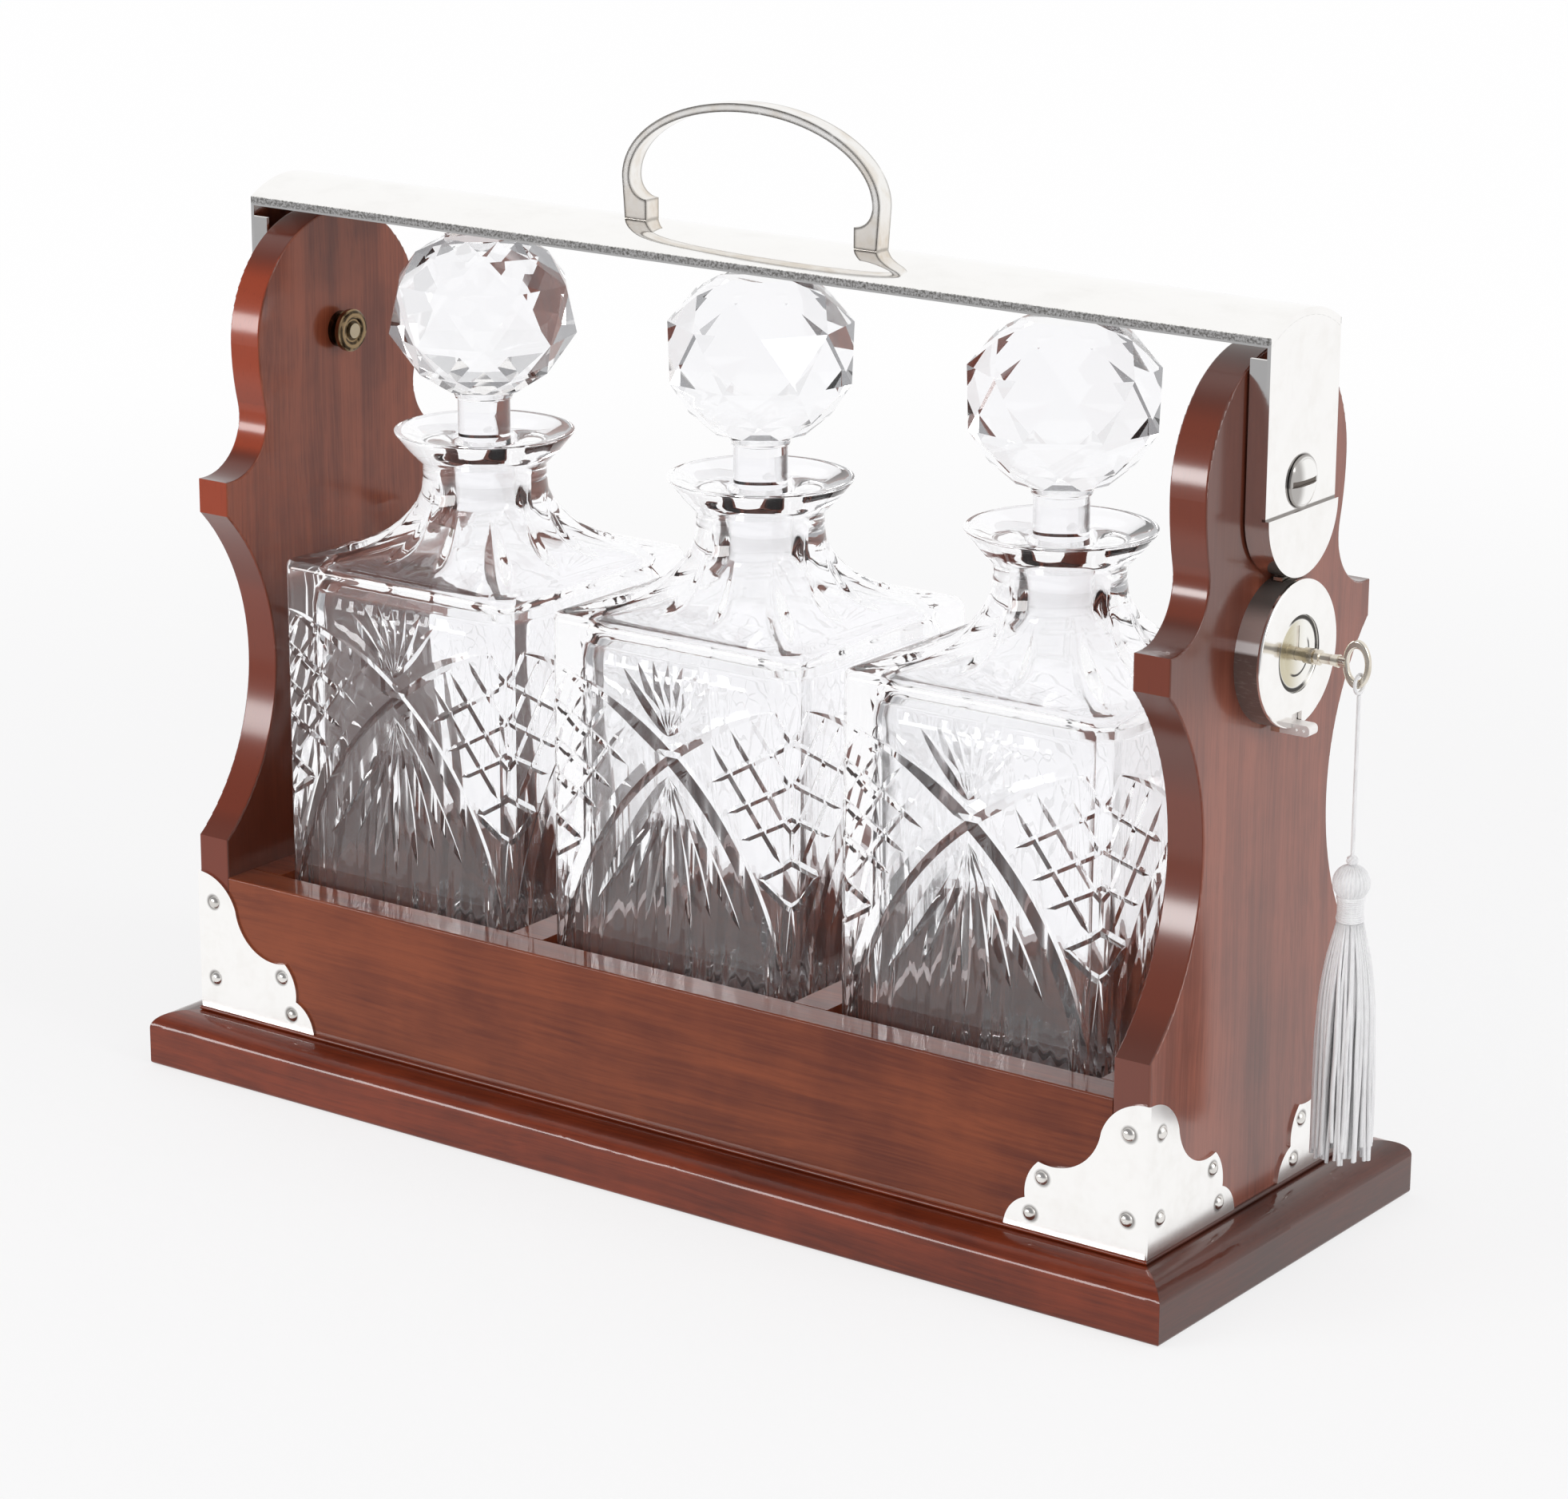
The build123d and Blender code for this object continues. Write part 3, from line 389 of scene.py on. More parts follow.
def wind_band():
    """Neck band: a stack of wound turns, each a half round, raised near the top and the bottom."""
    low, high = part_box("tassel_band")
    radius = (high.x - low.x) / 2
    turns, columns = 13, 48
    climb = np.linspace(0, 1, turns * 6 + 1)[:, None]
    angle = around(columns)[None, :]
    bead = np.abs(np.sin(math.pi * (turns * climb)))
    collar = np.exp(-((climb - 0.16) / 0.07) ** 2) + 0.8 * np.exp(-((climb - 0.88) / 0.08) ** 2)
    wide = np.broadcast_to(radius * (0.86 + 0.06 * bead + 0.08 * collar), (len(climb), columns))
    z = np.broadcast_to(high.z + (low.z - high.z) * climb, wide.shape)
    points = np.stack([tassel_x + wide * np.cos(angle), wide * np.sin(angle), z], -1)
    return surface("wound_band", points, ring_stack(len(climb), columns), silver_silk)


def hang_skirt():
    """Strands as tapered tubes: each follows the skirt's flare, sways a little and ends where it frayed."""
    low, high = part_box("tassel_skirt")
    dice = np.random.default_rng(7)
    flare_at = np.array([0.0, 0.14, 0.25, 0.36, 0.58, 0.74, 1.0])
    flare = np.array([3.4, 5.7, 6.9, 7.6, 8.2, 8.6, 8.8]) / 1000
    rings, sides = 14, 6
    layers = [(40, 1.0), (34, 0.84), (26, 0.6)]
    points, faces, start = [], [], 0
    for count, depth in layers:
        angle = around(count)[:, None] + dice.normal(0, 0.035, (count, 1))
        locks = 0.10 * np.sin(angle * 9 + 0.7) + 0.05 * np.sin(angle * 17)
        length = (high.z - low.z) * (1 - np.abs(dice.normal(0, 0.05, (count, 1))) - 0.012)
        fall = np.linspace(0, 1, rings)[None, :]
        away = np.interp(fall, flare_at, flare) * depth
        away = away * (1 + dice.normal(0, 0.05, (count, 1)) * fall) + 0.0002
        away = np.minimum(away, high.x - tassel_x - 0.0009)
        swing = angle + locks * fall + dice.normal(0, 0.12, (count, 1)) * fall ** 2
        swing = swing + 0.03 * np.sin(fall * 9 + dice.uniform(0, 6, (count, 1)))
        line = np.stack([tassel_x + away * np.cos(swing), away * np.sin(swing),
                         np.broadcast_to(high.z - fall * length, swing.shape)], -1)
        thick = 0.00066 * np.minimum(1, 0.62 + fall[..., None]) * dice.uniform(0.82, 1.12, (count, 1, 1))
        ring = around(sides)
        out = np.stack([np.cos(swing), np.sin(swing), np.zeros_like(swing)], -1)
        along = np.stack([-np.sin(swing), np.cos(swing), np.zeros_like(swing)], -1)
        tube = (line[:, :, None] + thick[..., None] * (out[:, :, None] * np.cos(ring)[:, None]
                                                      + along[:, :, None] * np.sin(ring)[:, None]))
        points.append(tube.reshape(-1, 3))
        cap = np.array([[5, 4, 3, 2], [5, 2, 1, 0]])
        each = np.vstack([grid_faces(rings, sides)[:, ::-1], (cap + (rings - 1) * sides)[:, ::-1], cap])
        offsets = start + np.arange(count)[:, None, None] * rings * sides
        faces += (each[None] + offsets).reshape(-1, 4).tolist()
        start += count * rings * sides
    return surface("silk_skirt", np.vstack(points), faces, silver_silk)


def tie_loop():
    """Loop of the same cord round the bow: a torus with the cord's two plies wound round it."""
    low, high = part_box("tassel_loop")
    middle = (low + high) / 2
    inner = cord_thickness / 2
    radius = (high.y - low.y) / 2 - inner
    rows, columns = 72, 14
    turn = around(rows)[:, None]
    ring = around(columns)[None, :]
    thick = inner * (0.93 + 0.07 * np.cos(2 * ring + 17 * turn))
    away = radius + thick * np.cos(ring)
    points = np.stack([middle.x + thick * np.sin(ring), middle.y + away * np.cos(turn),
                       middle.z + away * np.sin(turn)], -1)
    join = grid_faces(2, columns)
    join = np.where(join >= columns, join - columns, join + (rows - 1) * columns)
    return surface("silk_loop", points, np.vstack([grid_faces(rows, columns), join]), silver_silk)


wound_ball, wound_band, silk_skirt, silk_loop = wind_ball(), wind_band(), hang_skirt(), tie_loop()
for piece, node in ((wound_ball, "tassel_head"), (wound_band, "tassel_band"),
                    (silk_skirt, "tassel_skirt"), (silk_loop, "tassel_loop")):
    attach(piece, "tassel")
    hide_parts(node)

# ---------------------------------------------------------------------------
# Case: mahogany boards, end panels and plinth under French polish. The grain
# runs along each board, and up the end panels.
# ---------------------------------------------------------------------------
def dress(finish, *nodes):
    """Puts one finish on the case's own nodes by their names."""
    for node in nodes:
        give(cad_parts[node], finish)


def mahogany(name, light, dark, grain, seed, polish=1.38, gloss=0.05, end_dark=0.0, edge=None, low_edge=0.0,
             shaded=None):
    """Polished mahogany: soft bands and fine pores along the grain; mitred end strips run across.

    edge holds the two steps outwards between which a panel's edge shows, and its red; painted shade darkens
    the edge where it faces down or steeply up, and low down as strongly as low_edge. shaded holds the steps
    across and up a face between which painted shade darkens it, and how much; end_dark also paints shade
    on the end strips.
    """
    wood = Finish(name, Coat_Roughness=gloss, Coat_IOR=polish, Specular_IOR_Level=0.1, Coat_Weight=1.0)
    x, y, z = wood.place()
    along, first, second = {"x": (x, y, z), "z": (z, x, y)}[grain]
    if end_dark:
        mitre, strip = 124.5, 186.5
        end = (abs(x) - abs(y)).step(mitre - 0.2, mitre + 0.2) * abs(x).step(strip - 0.5, strip + 0.5)
        along, first = along + (y - x) * end, first + (x - y) * end
    sway = wood.noise(wood.point(along * 0.006 + seed, first * 0.02, second * 0.02), 2.0) * 14.0
    u = first + sway
    v = second + sway
    bands = wood.noise(wood.point(along * 0.0035, u * 0.11, v * 0.11), 4.0, 0.55, 0.3)
    lines = wood.noise(wood.point(along * 0.022 + seed, u * 0.9, v * 0.9), 4.0, 0.65)
    pores = wood.noise(wood.point(along * 0.09, first * 2.6 + seed, second * 2.6), 2.0, 0.5)
    flecks = pores.step(0.58, 0.74)
    mottle = wood.noise(wood.point(x * 0.03 + seed, y * 0.03, z * 0.03), 3.0, 0.6)
    tone = (bands - 0.5) * 1.2 + (lines - 0.5) * 0.9 + (mottle - 0.5) * 0.9 + 0.5
    body = wood.mix(tone.step(0.05, 0.95), dark, light)
    shade = tuple(part * 0.5 for part in dark)
    # Painted shade: end_dark darkens the mitred end strips of the plinth.
    if end_dark:
        body = wood.mix(end * end_dark, body, (0.030, 0.016, 0.012))
    if shaded:
        across_face, height, strength = shaded
        body = wood.mix(y.step(*across_face) * z.step(*height) * strength, body, shade)
    if edge:
        inner, outer, red = edge
        skin = abs(x).step(*inner) * (1 - abs(x).step(*outer))
        body = wood.mix(skin, body, red)
        # Painted shade on the edge: darker where it faces down or steeply up, and low down by low_edge.
        slope = wood.facing()[2]
        steep_edge_shade = largest(slope.step(-0.08, -0.4), slope.step(0.5, 0.72), z.step(176.0, 164.0) * low_edge)
        body = wood.mix(skin * steep_edge_shade * 0.72, body, shade)
    wood.set(Base_Color=wood.mix(flecks * 0.3, body, shade), Roughness=mottle * 0.2 + 0.25)
    ripple = wood.noise(wood.point(x * 0.07, y * 0.07, z * 0.07), 1.0)
    wood.bump(ripple - flecks * 0.06, 0.00012, 0.5)
    return wood


board_wood = mahogany("board_mahogany", (0.225, 0.048, 0.014), (0.098, 0.015, 0.005), "x", 3.0, polish=1.30)
# The plinth's end strips get painted shade.
plinth_wood = mahogany("plinth_mahogany", (0.215, 0.034, 0.010), (0.085, 0.012, 0.004), "x", 11.0,
                       polish=1.34, end_dark=0.62)
# Painted shade: shaded darkens the outer face beside the arm and the drum.
right_wood = mahogany("panel_mahogany", (0.300, 0.086, 0.049), (0.160, 0.039, 0.021), "z", 23.0,
                      polish=1.5, gloss=0.16, low_edge=0.35,
                      edge=((150.0, 151.0), (186.2, 186.6), (0.165, 0.030, 0.012)),
                      shaded=((-8.0, -24.0), (165.0, 200.0), 0.75))
# The left panel is a darker, shaded copy of the panel wood, for the shade its inner face gets between the
# decanters; shaded paints more shade low down on that face.
left_wood = mahogany("inner_panel_mahogany", (0.300, 0.076, 0.036), (0.125, 0.026, 0.012), "z", 31.0,
                     gloss=0.16, low_edge=0.8,
                     edge=((174.3, 174.6), (186.2, 186.6), (0.280, 0.042, 0.014)),
                     shaded=((60.0, 40.0), (185.0, 150.0), 0.85))
dress(plinth_wood, "plinth", "foot_bead")
dress(board_wood, "floor_board", "front_board", "back_board", "divider_left", "divider_right",
      "end_liner_left", "end_liner_right")
dress(left_wood, "end_panel_left")
dress(right_wood, "end_panel_right")

# ---------------------------------------------------------------------------
# Baize and screws under the plinth: green wool cloth glued on, six steel
# wood screws up into the boards.
# ---------------------------------------------------------------------------
def wool_baize():
    """Green wool: a fine nap in colour and height."""
    baize = Finish("green_baize", Roughness=0.95, Sheen_Weight=0.4, Sheen_Roughness=0.5)
    x, y, z = baize.place()
    nap = baize.noise(baize.point(x * 2.4, y * 2.4, z * 2.4), 4.0, 0.7)
    baize.set(Base_Color=baize.mix(nap, (0.012, 0.060, 0.024), (0.045, 0.170, 0.075)))
    baize.bump(nap, 0.0004, 0.8)
    return baize


def worn_metal(name, bright, dull, roughness, patches=0.35, metallic=1.0):
    """Polished metal with faint cloudy tarnish and hairline scratches."""
    metal = Finish(name, Metallic=metallic)
    x, y, z = metal.place()
    cloud = metal.noise(metal.point(x * 0.09, y * 0.09, z * 0.09), 4.0, 0.6)
    hairs = metal.noise(metal.point(x * 0.35, y * 6.0, z * 5.0), 2.0)
    metal.set(Base_Color=metal.mix(cloud.step(0.35, 0.8) * patches, bright, dull),
              Roughness=cloud * roughness * 0.9 + hairs * roughness * 0.5 + roughness * 0.3)
    metal.bump(hairs, 0.000006, 0.3)
    return metal


dress(wool_baize(), "base_baize")
steel = worn_metal("plain_steel", (0.50, 0.50, 0.51), (0.30, 0.29, 0.28), 0.3)
dress(steel, "plinth_screws")

# ---------------------------------------------------------------------------
# Silver mounts: plated brass, polished almost white; the corner leaves are
# pinned through, with old polish left dark round each pin.
# ---------------------------------------------------------------------------
plate = worn_metal("silver_plate", (0.955, 0.945, 0.93), (0.80, 0.77, 0.73), 0.10)


def corner_plate():
    """Silver leaf: grime is a soft ring round each pin, by its distance across and up the leaf."""
    leaf = Finish("corner_silver", Metallic=1.0)
    x, y, z = leaf.place()
    low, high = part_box("corner_mount_front_right")
    across = (high.x * 1000 - abs(x)) + (-low.y * 1000 - abs(y)) - 0.4
    rise = z - low.z * 1000
    pins = ((6.5, 38.0), (6.5, 11.2), (36.3, 17.4), (40.3, 5.2))
    grime = largest(*[(((across - away) ** 2 + (rise - height) ** 2) ** 0.5).step(3.3, 2.1)
                      for away, height in pins])
    cloud = leaf.noise(leaf.point(x * 0.12, y * 0.12, z * 0.12), 4.0, 0.6)
    base = leaf.mix(cloud.step(0.4, 0.8) * 0.3, (0.95, 0.94, 0.925), (0.80, 0.77, 0.73))
    leaf.set(Base_Color=leaf.mix(grime * 0.75, base, (0.10, 0.085, 0.075)), Roughness=cloud * 0.14 + 0.12)
    return leaf


leaf_silver = corner_plate()
pin_silver = worn_metal("pin_silver", (0.80, 0.78, 0.75), (0.35, 0.32, 0.29), 0.22, 0.6)
for end in ("left", "right"):
    for side in ("front", "back"):
        dress(leaf_silver, "corner_mount_%s_%s" % (side, end))
        dress(pin_silver, "mount_pins_%s_%s" % (side, end))

# ---------------------------------------------------------------------------
# Locking bar: a shallow arch of plated brass on two arms that turn on the
# end panels. Its long edges have lost their polish and are speckled grey.
# ---------------------------------------------------------------------------
def axis_of(node):
    """Height of a round piece's axis in millimetres."""
    low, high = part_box(node)
    return (low.z + high.z) * 500


def off_axis(y, z, axis_z):
    """Distance from an axis that runs from end to end of the case at this height."""
    return (y ** 2 + (z - axis_z) ** 2) ** 0.5


def bar_plate():
    """Silver bar, speckled near its long edges but for a bright line at its lowest."""
    bar = Finish("bar_silver", Metallic=1.0)
    x, y, z = bar.place()
    low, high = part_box("locking_bar")
    half, foot = high.y * 1000, low.z * 1000
    rim = abs(y).step(half - 0.35, half - 0.15)
    speckle = bar.noise(bar.point(x * 1.1, y * 1.1, z * 1.1), 3.0, 0.7).step(0.36, 0.62)
    speckle = largest(speckle, z.step(foot + 0.9, foot + 0.5))
    cloud = bar.noise(bar.point(x * 0.05, y * 0.09, z * 0.09), 4.0, 0.6)
    base = bar.mix(cloud.step(0.4, 0.85) * 0.3, (0.955, 0.945, 0.93), (0.80, 0.78, 0.75))
    worn = bar.mix(speckle, (0.30, 0.29, 0.27), (0.98, 0.97, 0.95))
    bar.set(Base_Color=bar.mix(rim, base, worn), Roughness=rim * 0.03 + cloud * 0.06 + 0.03)
    return bar


def screw_plate():
    """Silver head outside, plain brass shank inside, dark in the slot, and painted shade round the head's rim
    and on its -y side.
    """
    screw = Finish("screw_silver", Metallic=1.0)
    x, y, z = screw.place()
    out = abs(x)
    head_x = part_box("pivot_screw_right")[1].x * 1000
    inner_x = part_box("end_panel_right")[1].x * 1000
    inside = out.step(inner_x - 0.5, inner_x - 1.5)
    away = off_axis(y, z, axis_of("pivot_screw_right"))
    floor = out.step(head_x - 1.0, head_x - 1.25) * away.step(7.2, 6.4)
    # Painted shade: a dark ring round the head's rim and a darker side towards -y.
    edge = away.step(6.9, 7.6)
    side_shade = (y * -1.0).step(1.0, 4.5) * 0.6
    dark = largest(floor, edge * 0.7, side_shade)
    base = screw.mix(dark, (0.93, 0.92, 0.90), (0.12, 0.10, 0.085))
    screw.set(Base_Color=screw.mix(inside, base, (0.42, 0.35, 0.25)), Roughness=inside * 0.3 + 0.12)
    return screw


def arm_plate():
    """Silver arm: painted shade in a thin ring round the screw and along the hasp's upper edge."""
    arm = Finish("arm_silver", Metallic=1.0)
    x, y, z = arm.place()
    ring = off_axis(y, z, axis_of("pivot_screw_right")).step(8.6, 7.9)
    line = abs(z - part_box("hasp_plate")[1].z * 1000 - 0.2).step(0.6, 0.2)
    cloud = arm.noise(arm.point(x * 0.12, y * 0.12, z * 0.12), 4.0, 0.6)
    base = arm.mix(cloud.step(0.4, 0.8) * 0.3, (0.955, 0.945, 0.93), (0.82, 0.79, 0.75))
    # Painted shade round the screw's head and along the hasp's upper edge.
    dark = largest(ring, line) * 0.8
    arm.set(Base_Color=arm.mix(dark, base, (0.12, 0.10, 0.09)), Roughness=cloud * 0.10 + 0.07)
    return arm


dress(bar_plate(), "locking_bar")
dress(arm_plate(), "bar_arm_left", "bar_arm_right")
dress(screw_plate(), "pivot_screw_left", "pivot_screw_right")
dress(plate, "arm_rim_left", "arm_rim_right", "hasp_plate")

# ---------------------------------------------------------------------------
# Carrying handle: a cast loop with square feet on two studs, its plate worn
# warm where rubbed, with a painted warm reflection near the feet and painted
# dark reflections along its edges, most on its flat sides.
# ---------------------------------------------------------------------------
def handle_plate():
    """Silver handle: warm where rubbed, with a painted warm reflection near the feet, and a painted dark
    reflection where a rounding would turn the surface at an edge.
    """
    handle = Finish("handle_silver", Metallic=1.0)
    x, y, z = handle.place()
    rubbed = handle.noise(handle.point(x * 0.11, y * 0.2, z * 0.11), 3.0, 0.6)
    foot_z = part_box("carry_handle")[0].z * 1000
    # Painted warm reflection near the feet, added to the warm rubbed patches.
    near_foot = z.step(foot_z + 16, foot_z)
    warm = (rubbed.step(0.4, 0.7) * 0.35 + near_foot * 0.3).then("MINIMUM", 1.0)
    metal = handle.mix(warm, (0.90, 0.885, 0.86), (0.62, 0.50, 0.36))
    # Painted dark reflection along the edges, strongest on the flat sides.
    side = abs(handle.facing()[1]).step(0.8, 0.95)
    rim = handle.near_edge(0.0015).step(0.002, 0.03)
    dark = rim * (side * 0.5 + 0.5) * rubbed.step(0.22, 0.38)
    handle.set(Base_Color=handle.mix(dark, metal, (0.07, 0.06, 0.05)),
               Metallic=1 - side * 0.6, Roughness=rubbed * 0.05 + 0.05)
    return handle


dress(handle_plate(), "carry_handle")
dress(plate, "handle_studs")

# ---------------------------------------------------------------------------
# Pivots and lock: dull brass nuts and bushes inside, a silver drum and face
# plate, and a nickel bolt, barrel, thumb tab and key.
# ---------------------------------------------------------------------------
lock_z = axis_of("lock_drum")


def turned_metal(name, rings, axis_z, half):
    """Lathe-turned metal with thin grooves at given radii; gives them and its clouds back for the colours."""
    metal = Finish(name, Metallic=1.0)
    x, y, z = metal.place()
    away = off_axis(y, z, axis_z)
    cloud = metal.noise(metal.point(x * 0.25, y * 0.25, z * 0.25), 4.0, 0.6)
    groove = largest(*[abs(away - radius).step(half * 1.6, half * 0.6) for radius in rings])
    metal.set(Roughness=cloud * 0.25 + 0.1)
    metal.bump(1 - groove, 0.0001, 0.6)
    return metal, groove, cloud


def barrel_nickel():
    """Nickel barrel: a painted tan reflection towards its front, and painted shade in a broken dark ring at
    its rim and in an arc below the keyhole.
    """
    barrel = turned_metal("barrel_nickel", (10.9, 7.2), lock_z, 0.55)[0]
    _, y, z = barrel.place()
    away = off_axis(y, z, lock_z)
    # Painted reflection: the side towards -y is tan.
    tan_reflection = (y * -1.0).step(-5.0, 6.0) * away.step(10.4, 9.8)
    face = barrel.mix(tan_reflection, (0.93, 0.92, 0.88), (0.62, 0.57, 0.42))
    # Painted shade: a broken dark ring at the rim and an arc below the keyhole.
    ring = abs(away - 10.9).step(0.9, 0.4) * (abs(y + z - lock_z).step(3.0, 7.0))
    arc = abs(away - 6.6).step(0.5, 0.2) * (y + lock_z - z).step(1.0, 4.0)
    barrel.set(Base_Color=barrel.mix(largest(ring, arc), face, (0.05, 0.045, 0.04)))
    return barrel


def drum_plate():
    """Silver drum with painted reflections in bands by height: brown below, a pale painted highlight line,
    light brown, and dark again on top.
    """
    drum = Finish("drum_silver", Metallic=0.25)
    x, y, z = drum.place()
    height = z - lock_z
    streaks = drum.noise(drum.point(x * 0.3, y * 1.4, z * 1.4), 3.0, 0.6)
    # Painted reflections: the bands stand for what the drum mirrors, with a pale painted highlight line.
    reflection_bands = drum.mix(height.step(4.0, 6.0), (0.165, 0.112, 0.098), (0.46, 0.35, 0.32))
    reflection_bands = drum.mix(streaks.step(0.5, 0.75) * 0.25, reflection_bands, (0.50, 0.44, 0.41))
    reflection_bands = drum.mix(abs(height - 5.6).step(2.2, 1.0), reflection_bands, (1.0, 0.98, 0.97))
    reflection_bands = drum.mix(height.step(12.0, 18.0), reflection_bands, (0.13, 0.115, 0.105))
    drum.set(Base_Color=reflection_bands, Roughness=0.36)
    return drum


def brass_turning():
    """Dull brass, with old dirt that lies broken in its grooves."""
    brass, groove, cloud = turned_metal("old_brass", (2.9, 4.3, 6.2), axis_of("pivot_nut_left"), 0.4)
    dirt = groove * cloud.step(0.36, 0.52)
    brass.set(Base_Color=brass.mix(dirt, (0.27, 0.19, 0.105), (0.05, 0.035, 0.02)))
    return brass


dress(brass_turning(), "pivot_nut_left", "pivot_nut_right", "pivot_bush_left", "pivot_bush_right")
nickel = worn_metal("worn_nickel", (0.80, 0.75, 0.66), (0.42, 0.35, 0.26), 0.2, 0.7)
tab_nickel = worn_metal("tab_nickel", (0.95, 0.92, 0.90), (0.80, 0.74, 0.70), 0.45, 0.6, 0.45)
dress(nickel, "lock_bolt", "bolt_guides", "key")
dress(tab_nickel, "thumb_tab")
dress(barrel_nickel(), "lock_barrel")
dress(drum_plate(), "lock_drum")
dress(plate, "lock_base_plate", "lock_face_plate")
dress(steel, "lock_screws")

# ---------------------------------------------------------------------------
# Decanters: square blown lead glass, ground flat outside and mitre-cut on a
# wheel: a gothic arch of two wide cuts, fans above and below their crossing,
# and a lattice that wraps each corner down to a pointed diamond.
# ---------------------------------------------------------------------------
def lead_glass():
    """Clear glass: most of a shadow passes it, and above its base most of a ray that has turned often."""
    glass = Finish("lead_glass", Base_Color=(0.985, 0.985, 1.0), Roughness=0.0, IOR=1.5,
                   Transmission_Weight=0.985, Specular_IOR_Level=0.5)
    paths = glass.node("LightPath")
    z = glass.place()[2]
    foot_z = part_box("decanter_left")[0].z * 1000
    above_base = z.step(foot_z + 13.0, foot_z + 17.0)
    turned_often = Amount(glass, paths.outputs["Ray Depth"]).step(2.4, 2.6) * 0.85 * above_base
    thrown_back = Amount(glass, paths.outputs["Glossy Depth"]).step(1.4, 1.6)
    let_through = ray_is(glass, "Shadow") * 0.94
    glass.set(Alpha=1 - largest(let_through, turned_often, thrown_back))
    return glass


clear_glass = lead_glass()

# All in millimetres. A profile's rows are half width, height and how round the ring is, from 0 to 1.
face_half = 44.4            # flat face from its middle to the corner bevel
bevel = 2.687               # half the bevel's width, unrolled
glass_half = 48.2           # from the middle to the flat face
cut_low, cut_high = 14.0, 147.8
lip_samples = 64
same_place = 1e-4           # points nearer than this are one
outer_profile = np.array([
    (48.2, 147.8, 0.0), (48.0, 148.9, 0.0), (47.4, 149.8, 0.0), (46.5, 150.3, 0.0), (45.6, 150.5, 0.0),
    (42.5, 151.2, 0.0), (39.0, 152.2, 0.03), (35.5, 153.5, 0.08), (32.4, 155.0, 0.16), (29.6, 156.9, 0.28),
    (27.2, 159.2, 0.44), (25.2, 162.0, 0.62), (23.4, 165.2, 0.80), (21.9, 168.6, 0.93), (20.9, 172.2, 1.0),
    (20.4, 176.5, 1.0), (20.4, 181.4, 1.0), (22.4, 183.2, 1.0), (25.6, 186.6, 1.0), (28.3, 190.0, 1.0),
    (29.5, 191.5, 1.0), (29.6, 192.2, 1.0), (28.9, 192.4, 1.0), (26.5, 191.6, 1.0), (22.0, 190.5, 1.0),
    (16.5, 189.5, 1.0), (14.0, 189.1, 1.0), (11.2, 188.2, 1.0), (10.0, 186.8, 1.0), (10.0, 168.0, 1.0)])
inner_profile = np.array([
    (10.6, 164.0, 1.0), (12.6, 160.2, 0.9), (16.0, 157.0, 0.7), (21.0, 153.4, 0.45), (27.0, 149.8, 0.25),
    (33.5, 146.8, 0.1), (38.6, 144.2, 0.0), (41.2, 141.0, 0.0), (42.1, 136.0, 0.0), (42.2, 120.0, 0.0),
    (42.2, 80.0, 0.0), (42.2, 30.0, 0.0), (41.6, 20.0, 0.0), (39.6, 14.6, 0.0), (36.0, 11.6, 0.1),
    (28.0, 10.2, 0.3), (14.0, 10.0, 0.8), (0.5, 10.0, 1.0)])
foot_profile = np.array([
    (48.2, cut_low, 0.0), (48.2, 1.6, 0.0), (47.6, 0.5, 0.0), (46.4, 0.0, 0.0),
    (40.0, 0.0, 0.0), (38.0, 1.4, 0.1), (20.0, 2.0, 0.6), (0.5, 2.2, 1.0)])
# Leaf cuts of each quarter of the shoulder: direction in degrees, from and to this far out,
# half width and slope.
shoulder_cuts = ((45, 23, 60, 4.4, 0.85), (15, 21.5, 39, 2.3, 1.1), (75, 21.5, 39, 2.3, 1.1))


def arc_cut():
    """One side of the gothic arch: part of a circle that sweeps from an upper corner to the foot."""
    angle = np.radians(np.linspace(6.5, 75.0, 41))
    radius, middle_u, middle_h = 118, -72, 19
    line = np.stack([middle_u + radius * np.cos(angle), middle_h + radius * np.sin(angle)], -1)
    along = np.linspace(0, 1, len(angle))
    width = 3.1 * np.minimum(1, np.minimum(along * 9, (1 - along) * 4) + 0.06)
    return line, width, 0.6


def ray_cut(x, h, degrees, length, width, slope=0.8):
    """A leaf-shaped mitre that starts and ends in points, at an angle from straight up."""
    along = np.linspace(0, 1, 13)
    angle = math.radians(degrees)
    line = np.array([x, h]) + along[:, None] * length * np.array([math.sin(angle), math.cos(angle)])
    swell = np.sin(math.pi * along ** 0.8) ** 0.7 * width
    return line, np.maximum(swell, 0.02), slope


def line_cut(x0, h0, x1, h1, width=1.15):
    """A straight mitre of one width, run out to nothing at its first end."""
    along = np.linspace(0, 1, 9)
    line = np.array([x0, h0]) + along[:, None] * np.array([x1 - x0, h1 - h0])
    return line, width * np.minimum(1, along * 10 + 0.05), 0.6


